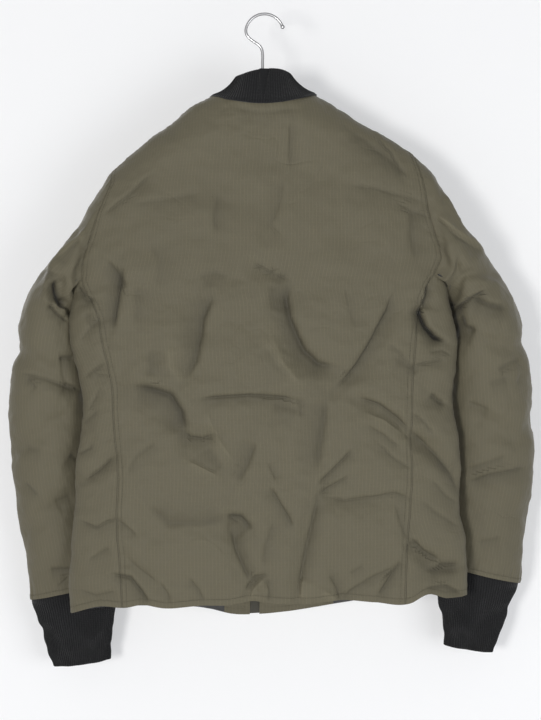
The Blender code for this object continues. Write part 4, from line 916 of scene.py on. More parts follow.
def shared_normals(sheets):
    """For each sheet, normals that agree along its seams, and which of its points lie on a seam."""
    every = np.vstack([sheet["points"] for sheet in sheets.values()])
    owner = np.concatenate([[k] * len(sheet["points"]) for k, sheet in enumerate(sheets.values())])
    raw = np.vstack([point_normals(sheet["points"], sheet["faces"]) for sheet in sheets.values()])
    _, index = np.unique(np.round(every, 2), axis=0, return_inverse=True)
    index = index.reshape(-1)
    total = np.zeros((index.max() + 1, 3))
    np.add.at(total, index, raw)
    owners = np.zeros((index.max() + 1, len(sheets)), bool)
    owners[index, owner] = True
    normals, on_seam = unit(total)[index], owners.sum(axis=1)[index] > 1
    return {name: (normals[owner == k], on_seam[owner == k]) for k, name in enumerate(sheets)}


def inward(points, faces):
    """From each point, the direction of the middle of the faces around it."""
    middle = points[faces].mean(axis=1)
    total = np.zeros_like(points)
    for k in range(4):
        np.add.at(total, faces[:, k], unit(middle - points[faces[:, k]]))
    return unit(total)


# ---- Sewing relief ----


def grid_edges(grid):
    """Each point's distance from the four edges of its grid, measured along its row or its column."""
    across, down = run_across(grid), run_down(grid)
    return across, across[:, -1:] - across, down, down[-1:] - down


def sewn_edge(edge, seed, lines=(), deep=1.0, pucker=0.5, pitch=13.0, reach=9.0):
    """How one edge of a grid is sewn: its ripple's seed, its stitch lines, its dip and its puckers."""
    return edge, seed, lines, deep, pucker, pitch, reach


def sewn_relief(grid, way, *edges):
    """The height that sewing gives a grid. Way is 1 where its rows go down from the underarm, -1 where up.

    Each edge dips as a bell curve, and the deepest dip counts. Away from all edges, each stitch line adds a
    small bell-shaped trough, and a ripple along the edge adds puckers that die out with the distance from it.
    """
    near, far, down, up = grid_edges(grid)
    places = {"near": (near, way * down[:, :1]), "far": (far, way * down[:, -1:])}
    places.update({"down": (down, near), "up": (up, near)})
    dip, rest, clear = 0.0, 0.0, 1.0
    for edge, seed, lines, deep, pucker, pitch, reach in edges:
        distance, along = places[edge]
        beside = bell(distance, SEAM_WIDTH)
        dip, clear = np.minimum(dip, -SEAM_DIP * deep * beside), clear * (1 - beside)
        for line in lines:
            rest = rest - STITCH_DIP * bell(distance - line, STITCH_WIDTH)
        rest = rest + pucker * ripple(along, seed, pitch) * bell(distance - PUCKER_PLACE * reach, reach)
    return dip + rest * clear


def hem_edge(seed):
    """A hem, with its line of stitches and long, weak puckers."""
    return sewn_edge("up", seed, HEM_LINES, deep=0.8, pucker=0.6, pitch=17.0, reach=10.0)


def back_relief(lower, upper):
    seams = sewn_edge("near", 1, SEAM_LINES), sewn_edge("far", 2, SEAM_LINES)
    return sewn_relief(lower, 1, *seams, hem_edge(3)), sewn_relief(upper, -1, *seams, sewn_edge("up", 4))


def front_relief(lower, upper, seed):
    zip_edge = sewn_edge("far", seed + 2, ZIP_LINES, deep=0.25)
    armhole = sewn_edge("near", seed + 1, pucker=0.5 * ease(run_down(upper) / PUCKER_START))
    below = sewn_relief(lower, 1, sewn_edge("near", seed), zip_edge, hem_edge(seed + 3))
    return below, sewn_relief(upper, -1, armhole, zip_edge, sewn_edge("up", seed + 4))


def sleeve_relief(rings, seed):
    cuff_seam = sewn_edge("up", seed, CUFF_LINES, pucker=1.1, pitch=19.0, reach=15.0)
    relief = sewn_relief(rings, 1, sewn_edge("down", seed + 1), cuff_seam)
    relief[:, -1] = relief[:, 0]
    return relief


# ---- The garment's sheets ----


def scattered(sheet, grids):
    """Values on a sheet's grids, put on its points."""
    values = np.zeros(len(sheet["points"]))
    for place, grid in zip(sheet["places"], grids):
        values[place] = grid
    return values


def from_middle(grid):
    """How far each point is from its row's middle one, along the row."""
    run, middle = run_across(grid), grid.shape[1] // 2
    return run - run[:, middle : middle + 1]


def from_last(grid):
    """How far each point is from its row's last one, along the row."""
    return grid_edges(grid)[1]


def body_panel(lower, upper, flip, across, relief):
    """A back or a front as one sheet, with its sewing relief and its height above the hem."""
    below = np.stack([across(lower), -run_down(lower)], axis=-1)
    above = np.stack([across(upper), run_down(upper)], axis=-1)
    sheet = welded([(lower, flip, below), (upper, not flip, above)])
    sheet["relief"] = scattered(sheet, relief)
    sheet["above_hem"] = scattered(sheet, [grid_edges(lower)[3], np.full(upper.shape[:2], FAR)])
    sheet["creases"] = BODY_CREASES
    return sheet


def back_sheet(grids):
    """The back as a sheet, with its distances from the seams and the hem."""
    sheet = body_panel(*grids, False, from_middle, back_relief(*grids))
    sheet["from_seam"] = scattered(sheet, [np.minimum(*grid_edges(grid)[:2]) for grid in grids])
    sheet["from_edge"] = sheet["above_hem"]
    sheet["past_facing"] = sheet["above_hem"] - HEM_FACING
    return sheet


def front_sheet(grids, side):
    """A front as a sheet, lined inside except beside the hem and the zip."""
    sheet = body_panel(*grids, side == "left", from_last, front_relief(*grids, FRONT_SEED[side]))
    beside_zip = scattered(sheet, [from_last(grid) for grid in grids])
    sheet["from_edge"] = np.minimum(sheet["above_hem"], beside_zip)
    sheet["past_facing"] = np.maximum(sheet["above_hem"] - HEM_FACING, beside_zip - ZIP_FACING[side])
    sheet["from_seam"] = np.full(len(beside_zip), FAR)
    return sheet


def sleeve_sheet(loop, side):
    """A sleeve, welded from its back half and its front half, with its own folds and creases."""
    is_right = side == "right"
    rings, folds = sleeve_grid(side, loop)
    half = int(np.argmax(sleeve_turns() >= math.pi))
    across, down = run_across(rings), run_down(rings)
    first = np.stack([across, -down], axis=-1)[:, : half + 1]
    second = np.stack([across - across[:, -1:], -down], axis=-1)[:, half:]
    sheet = welded([(rings[:, : half + 1], is_right, first), (rings[:, half:], is_right, second)])
    sheet["places"] = [np.hstack([sheet["places"][0], sheet["places"][1][:, 1:]])]
    sheet["folds"] = scattered(sheet, [folds])
    sheet["creases"] = SLEEVE_CREASES[side], SLEEVE_FRONT_CREASES[side]
    sheet["own_share"] = ease(scattered(sheet, [down]) / ARMHOLE_BLEND)
    sheet["relief"] = scattered(sheet, [sleeve_relief(rings, SLEEVE_SEED[side])])
    sheet["from_edge"] = scattered(sheet, [grid_edges(rings)[3] + HEM_LINES[0] - CUFF_LINES[0]])
    sheet["past_facing"] = sheet["from_seam"] = np.full(len(sheet["points"]), FAR)
    return sheet


def plain_sheets():
    """Every shell panel before folds."""
    lower = back_lower()
    back = lower, back_upper(lower[0])
    sheets = {"back": back_sheet(back)}
    fronts = {}
    for side in SIDES:
        lower = front_lower(side)
        fronts[side] = lower, front_upper(lower[0, SIDE_COLUMNS:], side)
        sheets[f"front_{side}"] = front_sheet(fronts[side], side)
    for side, (lower, upper) in fronts.items():
        sheets[f"sleeve_{side}"] = sleeve_sheet(armhole_loop(back[1], upper, lower[0], side), side)
    return sheets


def run_on(sheet, normals, own, body, shape):
    """A sheet's own heights. Near a sleeve's armhole the body's take over, and so run on over the seam."""
    if "own_share" not in sheet:
        return own
    place, share = sheet["places"][0], sheet["own_share"]
    ring = place[0]
    at_armhole = body_height(sheet["points"][ring], normals[ring], *body, shape)
    spread = scattered(sheet, [np.broadcast_to(at_armhole, place.shape)])
    return own * share + spread * (1 - share)


def big_folds(sheet, normals):
    """The folds' height over a sheet. A sleeve's own folds come with it."""
    folds = sheet.get("folds")
    if folds is None:
        folds = body_height(sheet["points"], normals, *BODY_FOLDS, fold_height)
    return run_on(sheet, normals, folds, BODY_FOLDS, fold_height)


def crease_field(sheet, normals, shape):
    """The creases' height, or the shade painted beside them, over a sheet."""
    own = body_height(sheet["points"], normals, *sheet["creases"], shape)
    return run_on(sheet, normals, own, BODY_CREASES, shape)


def crease_lines(sheet, normals):
    """The shader's crease lines: for each point, those of the side that it faces."""
    low, high = FOLD_FACING
    x, z, facing = sheet["points"][:, 0], sheet["points"][:, 2], normals[:, 1]
    behind, before = (nearest_crease(x, z, creases) for creases in sheet["creases"])
    place, depth = np.where(facing > 0, behind, before)
    return place, depth * ease((np.abs(facing) - low) / (high - low)) * sheet.get("own_share", 1.0)


@lru_cache(maxsize=None)
def garment(crease_depth, undulation):
    """All shell panels as closed walls, folded and sewn.

    Folds move the plain sheet along its normals. Creases, undulation and sewing relief then move it along the
    folded sheet's normals, and the inner face lies the cloth's thickness further in along the same normals.
    """
    sheets = plain_sheets()
    plain_normals = shared_normals(sheets)
    for name, sheet in sheets.items():
        points, (normals, sheet["on_seam"]) = sheet["points"], plain_normals[name]
        creases = crease_field(sheet, normals, crease_height) * crease_depth
        soft, small = (waves(points, *kind) * undulation for kind in (SOFT_WAVES, SMALL_WAVES))
        sheet["detail"] = creases + soft + small + sheet["relief"]
        # The shade to be painted into the colour beside each crease: darker by a trough, lighter by a ridge
        sheet["beside"] = crease_field(sheet, normals, crease_painted_shade)
        sheet["lines"] = crease_lines(sheet, normals)
        sheet["folded"] = points + normals * big_folds(sheet, normals)[:, None]
    folded_normals = shared_normals({k: {**s, "points": s["folded"]} for k, s in sheets.items()})
    for name, sheet in sheets.items():
        sheet["normals"], _ = folded_normals[name]
        add_wall_points(sheet)
        add_wall_faces(sheet)
        add_wall_fields(sheet)
    return sheets


def add_wall_points(sheet):
    """Give a sheet its outer and inner points. Along a seam they draw back to leave a small gap."""
    faces, normals, folded = sheet["faces"], sheet["normals"], sheet["folded"]
    own = unit(point_normals(folded, faces))
    away = inward(folded, faces) - own
    away = unit(away - (away * normals).sum(axis=1, keepdims=True) * normals)
    outer = folded + normals * sheet["detail"][:, None]
    outer = outer + away * (sheet["on_seam"] * SEAM_GAP / 2)[:, None]
    meeting = np.clip((own * normals).sum(axis=1, keepdims=True), SHARPEST_SEAM, 1)
    sheet["outer"] = outer
    sheet["wall_points"] = np.vstack([outer, outer - normals * WALL / meeting])


def add_wall_faces(sheet):
    """Give a sheet the faces of a closed wall, with their cloth coordinates and which of them are lining."""
    faces, weave, count = sheet["faces"], sheet["weave"], len(sheet["folded"])
    every = wall_faces(faces, count)
    rims = every[2 * len(faces) :]
    cloth = np.zeros((count, 2))
    cloth[faces.reshape(-1)] = weave.reshape(-1, 2)
    lined = sheet["past_facing"][faces].mean(axis=1) > 0
    sheet["wall_faces"] = every
    sheet["wall_weave"] = np.vstack([weave, weave[:, ::-1], cloth[rims % count]])
    sheet["wall_finish"] = np.concatenate([np.zeros(len(faces)), lined, np.zeros(len(rims))]).astype(np.int32)


def add_wall_fields(sheet):
    """Give a sheet the values that its material reads, the painted crease shade among them. Creases and their
    painted shade show on the outer face only.
    """
    place, depth = sheet["lines"]
    inside = np.zeros(len(depth))
    sheet["wall_fields"] = {
        "crease": np.tile(place, 2),
        "crease_depth": np.concatenate([depth, inside]),
        "painted_crease_shade": np.concatenate([sheet["beside"], inside]),
        "from_seam": np.tile(sheet["from_seam"], 2),
        "from_edge": np.tile(sheet["from_edge"], 2),
    }


# ---- Stitches ----


def line_across(sheet, place, distance, from_end):
    """The outer face's points at a set distance from a grid's first or last column, and their normals."""
    grid = sheet["outer"][place]
    normals = sheet["normals"][place]
    if from_end:
        grid, normals = grid[:, ::-1], normals[:, ::-1]
    run = run_across(grid)
    after = np.clip((run < distance).sum(axis=1), 1, grid.shape[1] - 1)
    row = np.arange(len(grid))
    low, high = run[row, after - 1], run[row, after]
    f = ((distance - low) / np.maximum(high - low, 1e-9))[:, None]
    points = grid[row, after - 1] * (1 - f) + grid[row, after] * f
    return points, unit(normals[row, after - 1] * (1 - f) + normals[row, after] * f)


def body_line(sheet, distance, from_end):
    """A line beside the same edge of both of a body panel's grids, from the top down."""
    lower, upper = (line_across(sheet, place, distance, from_end) for place in sheet["places"])
    return tuple(np.vstack([above[::-1], below[1:]]) for above, below in zip(upper, lower))


def end_lines(sheet, distances):
    """Lines at set distances from the last row of a sheet's first grid, one point for each column."""
    return [line_across(sheet, sheet["places"][0].T, distance, True) for distance in distances]


def tube_faces(rings, sides):
    """Four-sided faces between rings of points, and each point's place in its ring."""
    index = np.arange(rings * sides).reshape(rings, sides)
    beside = np.roll(index, -1, axis=1)
    return np.stack([index[:-1], index[1:], beside[1:], beside[:-1]], axis=-1).reshape(-1, 4), index


def repeated(shape, faces, places, axes):
    """A small body's points and faces, carried to every place and turned to the axes there."""
    shape = np.broadcast_to(shape.reshape(1, -1, 3), (len(places), shape.size // 3, 3))
    made = places[:, None] + np.einsum("nmk,nkj->nmj", shape, axes)
    every = faces[None] + (np.arange(len(places)) * shape.shape[1])[:, None, None]
    return made.reshape(-1, 3), every.reshape(-1, 4)


def stitches(line, pitch, length, thick):
    """Thread along a line: short rounded bars that dive into the cloth at both ends.

    Place f runs from -1 to 1 along a bar. Its half width is the thread's, times the fourth root of 1 less f
    to the fourth, and its middle stands higher than its ends by a share of the thread times 1 less f squared.
    """
    points, normals = line
    run = run_along(points)
    count = max(int(run[-1] / pitch), 1)
    centre = (np.arange(count) + 0.5) * run[-1] / count
    up = unit(read_along(centre, run, normals))
    along = unit(read_along(centre + length / 2, run, points) - read_along(centre - length / 2, run, points))
    side = unit(np.cross(up, along))
    f = np.array(STITCH_RINGS)[:, None]
    turn = np.radians((45, 135, 225, 315))[None]
    width = np.maximum(1 - f**4, STITCH_END) ** 0.25 * thick / 2
    sideways = np.cos(turn) * width * STITCH_FLAT
    upward = np.sin(turn) * width * STITCH_ROUND + thick * (STITCH_ARCH * (1 - f**2) - STITCH_SUNK)
    forward = np.broadcast_to(f * length / 2, sideways.shape)
    faces, index = tube_faces(len(STITCH_RINGS), 4)
    faces = np.vstack([faces, index[0], index[-1][::-1]])
    shape = np.stack([forward, sideways, upward], axis=-1)
    return repeated(shape, faces, read_along(centre, run, points), np.stack([along, side, up], axis=1))


def seam_stitches(sheets):
    """The stitch lines of the whole garment, by the piece that they are sewn on."""
    back = sheets["back"]
    beside = [(distance, from_end) for from_end in (False, True) for distance in SEAM_LINES]
    lines = {"back": [body_line(back, *place) for place in beside] + end_lines(back, HEM_LINES)}
    for side in SIDES:
        front = sheets[f"front_{side}"]
        lines[f"front_{side}"] = [body_line(front, ZIP_LINES[0], True), *end_lines(front, HEM_LINES)]
        lines[f"sleeve_{side}"] = end_lines(sheets[f"sleeve_{side}"], CUFF_LINES)
    return lines


# ---- Rib knit ----


def even_rings(rings, count):
    """Each closed ring's points, moved along it until they are evenly far apart."""
    closed = np.concatenate([rings, rings[:, :1]], axis=1)
    run = run_across(closed)
    share = np.linspace(0, 1, count, endpoint=False)
    return np.array([read_along(share * r[-1], r, ring) for r, ring in zip(run, closed)])


def band_profile(length, wall, rows):
    """Down the outside, round the free edge in half a circle and up the inside: how far down and how deep."""
    radius = wall / 2
    down = np.linspace(0, length - radius, rows)
    turn = np.linspace(0, math.pi, BAND_EDGE_ROWS + 2)[1:-1]
    run = np.concatenate([down, length - radius + radius * np.sin(turn), down[::-1]])
    depth = np.concatenate([np.zeros(rows), radius - radius * np.cos(turn), np.full(rows, wall)])
    return run, depth


def rib_height(columns, raised):
    """The ribs round a band: a raised cosine to the power that rounds a rib, one wave for each rib."""
    phase = np.arange(columns) / RIB_STEPS
    return raised * (0.5 - 0.5 * np.cos(TURN * phase)) ** RIB_ROUND


def ring_normals(rings):
    """Outward normals of a band of closed rings: the way round crossed with the way down."""
    way_round = np.roll(rings, -1, axis=1) - np.roll(rings, 1, axis=1)
    normals = unit(np.cross(way_round, np.gradient(rings, axis=0)))
    outward = rings - rings.mean(axis=1, keepdims=True)
    return normals if (normals * outward).sum() > 0 else -normals


def band_faces(rows, columns, closed):
    """The faces of a closed profile carried round a ring, or along an arc with both ends capped."""
    index = np.arange(rows * columns).reshape(rows, columns)
    beside = np.roll(index, -1, axis=1) if closed else index[:, 1:]
    here = index if closed else index[:, :-1]
    body = [here, np.roll(here, -1, axis=0), np.roll(beside, -1, axis=0), beside]
    body = np.stack(body, axis=-1).reshape(-1, 4)
    if closed:
        return body
    up = np.arange(rows // 2)
    cap = np.stack([up[:-1], up[1:], rows - 1 - up[1:], rows - 1 - up[:-1]], axis=-1)
    return np.vstack([body, index[:, 0][cap][:, ::-1], index[:, -1][cap]])


def band_weave(rows, columns, run, closed):
    """Cloth coordinates of a band: ribs across, millimetres down, for each corner of its faces."""
    ribs = columns / RIB_STEPS
    across = np.tile(np.arange(columns), rows) / RIB_STEPS
    down = np.repeat(run, columns)
    faces = band_faces(rows, columns, closed)
    weave = np.stack([across[faces], down[faces]], axis=-1)
    if closed:
        wrapped = weave[..., 0].max(axis=1) - weave[..., 0].min(axis=1) > ribs / 2
        low = weave[..., 0] < ribs / 2
        weave[..., 0] += (wrapped[:, None] & low) * ribs
    return weave


def rib_band(rings, normals, profile, raised, soft, tuck, closed):
    """A rib band on rings of points: its points, faces and cloth coordinates.

    Each point moves along its normal: in by the profile's depth, and out by the soft waves. The ribs stand
    out of both faces and grow from the sewn edge. The tuck says how deep and how far that edge is drawn thin.
    """
    run, depth = profile
    rows, columns = rings.shape[:2]
    deep, reach = tuck
    ribs = rib_height(columns, raised)[None] * ease(run / run.max() * RIB_START)[:, None]
    outward = (1 - 2 * depth / RIB_WALL)[:, None]
    height = soft - depth[:, None] + (ribs - deep * bell(run, reach)[:, None]) * outward
    points = rings + normals * height[..., None]
    return points.reshape(-1, 3), band_faces(rows, columns, closed), band_weave(rows, columns, run, closed)


def soft_waves(rings, kind):
    """Waves of one kind over rings of points."""
    return waves(rings.reshape(-1, 3), *kind).reshape(rings.shape[:2])


def cuff_band(side, raised):
    """A cuff: ovals down the wrist, with a few soft gathers that grow from its seam."""
    source = with_run(CUFF[side])
    run, depth = band_profile(source["run"][-1], RIB_WALL, CUFF_ROWS)
    rings = ovals(source, run, "run", np.linspace(0, TURN, CUFF_OVAL, endpoint=False), SIDES[side])
    rings = even_rings(rings, CUFF_RIBS * RIB_STEPS)
    outside = ring_normals(rings[:CUFF_ROWS])
    edge = np.repeat(outside[-1:], len(run) - 2 * CUFF_ROWS, axis=0)
    soft = soft_waves(rings, CUFF_WAVES) * ease(run / run.max() * GATHER_START)[:, None]
    normals = np.concatenate([outside, edge, outside[::-1]])
    return rib_band(rings, normals, (run, depth), raised, soft, CUFF_TUCK, True)


def neck_line(sheets):
    """The neck edge, from the zip round the left side and the back to the zip again."""
    edges = []
    for name in ("front_left", "back", "front_right"):
        sheet = sheets[name]
        edges.append(sheet["folded"][sheet["places"][1][-1, SHOULDER_COLUMNS:]])
    left, back, right = edges
    return np.vstack([left[::-1], back[1:BACK_NECK_COLUMNS], right])


def neck_turns():
    """The turn round the neck of each of the neck edge's points, in degrees from the front."""
    front, back = FRONT_NECK_COLUMNS + 1, BACK_NECK_COLUMNS + 1
    left = np.linspace(COLLAR_END_TURN, 90, front)
    right = np.linspace(270, 360 - COLLAR_END_TURN, front)
    return np.concatenate([left, np.linspace(90, 270, back)[1:], right[1:]])


def collar_frame(sheets):
    """The collar's base line, top line and outward way at evenly spaced columns, and each column's share."""
    neck = neck_line(sheets)
    run = run_along(neck)
    share = np.linspace(0, 1, COLLAR_RIBS * RIB_STEPS + 1)
    base = read_along(share * run[-1], run, neck)
    turn = np.interp(share * run[-1], run, neck_turns())
    top = np.stack([column(COLLAR_TOP, name, turn, "turn") for name in ("x", "y", "z")], axis=-1)
    top[:, 0] = np.where(share < 0.5, np.maximum(top[:, 0], ZIP_EDGE), np.minimum(top[:, 0], -ZIP_EDGE))
    rise = unit(top - base)
    out = unit(np.cross(rise, np.gradient(base, axis=0)))
    return base + rise * COLLAR_LIFT, top, out, share


def collar_ends(sheets):
    """The collar's two ends, from just above the neck to the top."""
    base, top, _, _ = collar_frame(sheets)
    f = np.linspace(0, 1, COLLAR_END_ROWS + 1)[1:, None]
    return [base[k] * (1 - f) + top[k] * f for k in (0, -1)]


def collar_band(sheets, raised):
    """The collar: a rib band that stands on the neck edge, bulges and leans in to the table's top line.

    Each column is a parabola from its base to its top, 4 f (1 - f) times the bulge out of the straight line.
    """
    base, top, out, share = collar_frame(sheets)
    from_zip = np.minimum(share, 1 - share)
    bulge = COLLAR_BULGE * ease(from_zip / COLLAR_BULGE_FADE)[:, None]
    height = np.linalg.norm(top - base, axis=1).mean()
    run, depth = band_profile(height, RIB_WALL, COLLAR_ROWS)
    f = (run / height)[:, None, None]
    rings = base[None] * (1 - f) + top[None] * f + (out * bulge)[None] * 4 * f * (1 - f)
    soft = soft_waves(rings, COLLAR_WAVES) * ease(from_zip * COLLAR_CALM)
    return rib_band(rings, out[None], (run, depth), raised, soft, COLLAR_TUCK, False)


# ---- Zip ----


def zip_line(sheets):
    """The zip's rows, from the hem to the collar's top: left edge, middle and right edge of each."""
    edges = []
    for side, end in zip(SIDES, collar_ends(sheets)):
        sheet = sheets[f"front_{side}"]
        lower, upper = sheet["places"]
        edge = sheet["folded"][np.concatenate([lower[::-1, -1], upper[1:, -1]])]
        edges.append(np.vstack([edge, end]))
    left, right = edges
    return np.stack([left + (right - left) * f for f in (-TAPE_UNDER, 0.5, 1 + TAPE_UNDER)], axis=1)


def even_rows(rows, step):
    """The zip's rows, ending short of the hem and the collar's top, with their middles evenly far apart."""
    run = run_along(rows[:, 1])
    length = run[-1] - ZIP_HEM_SHORT - ZIP_TOP_SHORT
    at = ZIP_HEM_SHORT + np.linspace(0, length, int(length / step) + 1)
    return read_along(at, run, rows.reshape(len(rows), -1)).reshape(-1, 3, 3)


def tape_wall(rows):
    """The tape: flat from edge to edge, raised a little along the middle where the teeth are clamped on."""
    across = np.linspace(0, 2, TAPE_COLUMNS)
    low = np.minimum(across.astype(int), 1)
    f = (across - low)[None, :, None]
    grid = rows[:, low] * (1 - f) + rows[:, low + 1] * f
    points, faces = grid.reshape(-1, 3), grid_faces(grid.shape[:2])
    normals = unit(point_normals(points, faces))
    from_middle = np.abs(across - 1)
    beside_teeth = bell(from_middle * ZIP_WIDTH / 2 - CORD_PLACE, CORD_WIDTH)
    cord = TAPE_CORD * (beside_teeth - bell(from_middle, TAPE_SLOT))
    outer = points + normals * (np.tile(cord, len(rows)) - ZIP_RECESS)[:, None]
    inner = points - normals * (ZIP_RECESS + ZIP_WALL)
    return np.vstack([outer, inner]), wall_faces(faces, len(points))


def rounded_block(size):
    """A block with rounded corners: eight-sided rings, the outermost drawn in."""
    turn = np.radians(np.arange(8) * 45 + 22.5)
    corner = np.stack([np.cos(turn), np.sin(turn)], axis=-1)
    corner = np.sign(corner) * np.abs(corner) ** TOOTH_SQUARE
    rise, wide = np.array(TOOTH_RINGS).T
    across = corner[None] * wide[:, None, None]
    shape = np.concatenate([across, np.broadcast_to(rise[:, None, None], (len(rise), 8, 1))], axis=-1)
    return capped(shape * np.array(size) / 2)


def zip_teeth(rows, pitch, size):
    """Teeth along the tape's middle, every other one clamped to the other tape."""
    rows = even_rows(rows, pitch)[1:-1]
    up = unit(np.gradient(rows[:, 1], axis=0))
    across = unit(rows[:, 2] - rows[:, 0])
    out = unit(np.cross(up, across))
    out = np.where(out[:, 1:2] > 0, -out, out)
    across = np.cross(out, up)
    turned = np.where(np.arange(len(rows)) % 2, 1.0, -1.0)[:, None]
    aside = across * turned * size[0] * TOOTH_STAGGER
    places = rows[:, 1] + aside + out * (size[2] / 2 - ZIP_RECESS - TOOTH_SUNK)
    return repeated(*rounded_block(size), places, np.stack([across, up, out], axis=1))


# ---- Hard pieces ----


def capped(rings):
    """The points and faces of rings, closed at the first and the last ring by strips of four-sided faces."""
    sides = rings.shape[1]
    body, index = tube_faces(*rings.shape[:2])
    k = np.arange(sides // 2 - 1)
    strip = np.stack([k, k + 1, sides - 2 - k, sides - 1 - k], axis=-1)
    return rings.reshape(-1, 3), np.vstack([body, index[0][strip], index[-1][strip][:, ::-1]])


def hook_line():
    """The wire's middle line: the hook's arc, and a smooth slant into the stem."""
    centre = -(HOOK_RADIUS - WIRE / 2)
    turns = np.radians(np.linspace(HOOK_TIP_TURN, HOOK_NECK_TURN, HOOK_STEPS))
    arc = np.stack([HOOK_RADIUS * np.cos(turns), centre + HOOK_RADIUS * np.sin(turns)], axis=-1)
    known = np.vstack([arc[-ARC_SHARED:], HOOK_SLANT, HOOK_STEM])
    run = run_along(known)
    at = np.linspace(run[ARC_SHARED - 1], run[-1], SLANT_STEPS)[1:]
    slant = np.stack([smooth(at, run, known[:, k]) for k in (0, 1)], axis=-1)
    stem = np.stack([np.full(STEM_STEPS, HOOK_STEM[0][0]), np.linspace(*HOOK_STRAIGHT, STEM_STEPS)], axis=-1)
    flat = np.vstack([arc, slant, stem])
    return np.stack([flat[:, 0], np.zeros(len(flat)), flat[:, 1]], axis=-1)


def hook_rings(sides):
    """The wire about its line, and a ball on its open end that starts from almost a point."""
    line = hook_line()
    way = unit(line[0] - line[1])
    half = TIP_BALL / 2
    turns = np.radians(np.linspace(*BALL_TURNS, BALL_STEPS))
    centre = line[0] + way * BALL_OUT * half
    ball = centre + way * np.cos(turns)[:, None] * half
    neck = math.asin(min(WIRE / TIP_BALL, 1))
    radius = np.where(turns < math.pi - neck, np.sin(turns) * half, WIRE / 2)
    path = np.vstack([ball, line[1:], line[-1:] - (0, 0, WIRE_BEVEL)])
    radius = np.concatenate([radius, np.full(len(line) - 1, WIRE / 2), [WIRE / 4]])
    along = unit(np.gradient(path, axis=0))
    along[:BALL_STEPS] = -way
    along[-STEM_STEPS:] = (0, 0, -1)
    sideways = np.array((0.0, 1.0, 0.0))
    other = unit(np.cross(along, sideways))
    turn = np.linspace(0, TURN, sides, endpoint=False)[None, :, None]
    rings = path[:, None] + (np.cos(turn) * other[:, None] + np.sin(turn) * sideways) * radius[:, None, None]
    return capped(rings)


def arm_rings():
    """The hanger's arms: rings along X, round on top where they follow the shoulders, rounded underneath."""
    x = np.linspace(ARM_REACH[0], -ARM_REACH[1], ARM_RINGS)
    ridge = column(SHOULDER, "z", x, key="x")
    drop = (WALL + ARM_CLEARANCE) * np.hypot(1, np.gradient(ridge, x))
    crest = np.minimum(ridge - drop, ARM_CREST)
    depth = np.minimum(column(BODY, "back", ridge), column(BODY, "front", ridge))
    bow = (1 - (np.abs(x) / BODY["right"][0]) ** FRONT_POWER) ** (1 / FRONT_POWER)
    inside = depth * bow - WALL - ARM_SIDE_CLEARANCE
    y = np.linspace(1, -1, ARM_COLUMNS) * ARM_HALF_DEPTH
    fall = SHOULDER_ROLL * (1 - np.sqrt(1 - (y[None, :] / inside[:, None]) ** 2))
    edge = np.linspace(-1, 1, ARM_COLUMNS)[1:-1]
    under = -ARM_THICK + ARM_UNDER_ROUND * np.abs(edge) ** 3
    top = np.stack(np.broadcast_arrays(x[:, None], y[None, :], crest[:, None] - fall), axis=-1)
    inner_y = (edge * ARM_HALF_DEPTH * ARM_UNDER_NARROW)[None, :]
    below = np.stack(np.broadcast_arrays(x[:, None], inner_y, crest[:, None] + under), axis=-1)
    rings = np.concatenate([top, below], axis=1)
    middle = rings.mean(axis=1, keepdims=True)
    centre = (ARM_REACH[0] - ARM_REACH[1]) / 2
    from_end = ARM_REACH[0] - np.abs(x - centre) - centre
    close = np.clip(from_end / ARM_END, ARM_TIP, 1)
    return capped(middle + (rings - middle) * np.sqrt(1 - (1 - close) ** 2)[:, None, None])


# ---- Shader values and groups ----

GRID_SHARP = 14.0  # the power that narrows the grid's lines
GRID_LEVEL = 0.3  # how strong the grid's level threads are, against the upright ones
WEAVE_HEIGHT = 0.12  # the weave's height, against the grid's
STITCH_LEAN = 0.9  # how far a knit stitch's ends hang below its middle, in millimetres
GROOVE_HEIGHT = 0.3  # the stitches' height between ribs, against that on them
WRINKLE_WIDTH = 0.022  # in the noise's own values
WRINKLES_SHOWN = (0.45, 0.7)  # the slower noise's values where wrinkles start to show, and show in full


class Value:
    """A changing number or vector in a node tree. Its sums, products and quotients are Math nodes there."""

    def __init__(self, socket):
        self.socket = socket

    def __add__(self, other):
        return maths("ADD", self, other)

    def __sub__(self, other):
        return maths("SUBTRACT", self, other)

    def __mul__(self, other):
        return maths("MULTIPLY", self, other)

    def __truediv__(self, other):
        return maths("DIVIDE", self, other)


def feed(socket, value):
    """Link a changing value to a socket, or set a plain one on it."""
    if isinstance(value, Value):
        socket.id_data.links.new(value.socket, socket)
    else:
        socket.default_value = value


def feed_all(sockets, values):
    """Feed each value to the socket of its name. An underscore stands for a space."""
    for name, value in values.items():
        feed(sockets[name.replace("_", " ")], value)


def maths(operation, *values):
    """A Math node of these values. The first of them says which tree it goes in."""
    made = values[0].socket.id_data.nodes.new("ShaderNodeMath")
    made.operation = operation
    for socket, value in zip(made.inputs, values):
        feed(socket, value)
    return Value(made.outputs[0])


def node(tree, kind, **values):
    """A new shader node, with its properties and its inputs set by name."""
    made = tree.nodes.new(f"ShaderNode{kind}")
    for name in [name for name in values if hasattr(made, name)]:
        setattr(made, name, values.pop(name))
    feed_all(made.inputs, values)
    return made


def parts(vector):
    """A vector's three numbers."""
    return [Value(socket) for socket in node(vector.socket.id_data, "SeparateXYZ", Vector=vector).outputs]


def scaled(tree, vector, factor):
    """A vector or a colour times a number."""
    return Value(node(tree, "VectorMath", operation="SCALE", Vector=vector, Scale=factor).outputs[0])


def noise(vector, scale, **values):
    """Noise over space, from 0 to 1."""
    return Value(node(vector.socket.id_data, "TexNoise", Vector=vector, Scale=scale, **values).outputs[0])


def line_mask(at, pitch, sharp):
    """1 on evenly spaced lines and 0 between them, with soft sides: a power of a raised cosine."""
    return maths("POWER", maths("COSINE", at / pitch * TURN) * 0.5 + 0.5, sharp)


def hump(value, width):
    """A bell curve of a changing number: e to the minus of its square over the width's."""
    return maths("EXPONENT", value * value * (-1 / width**2))


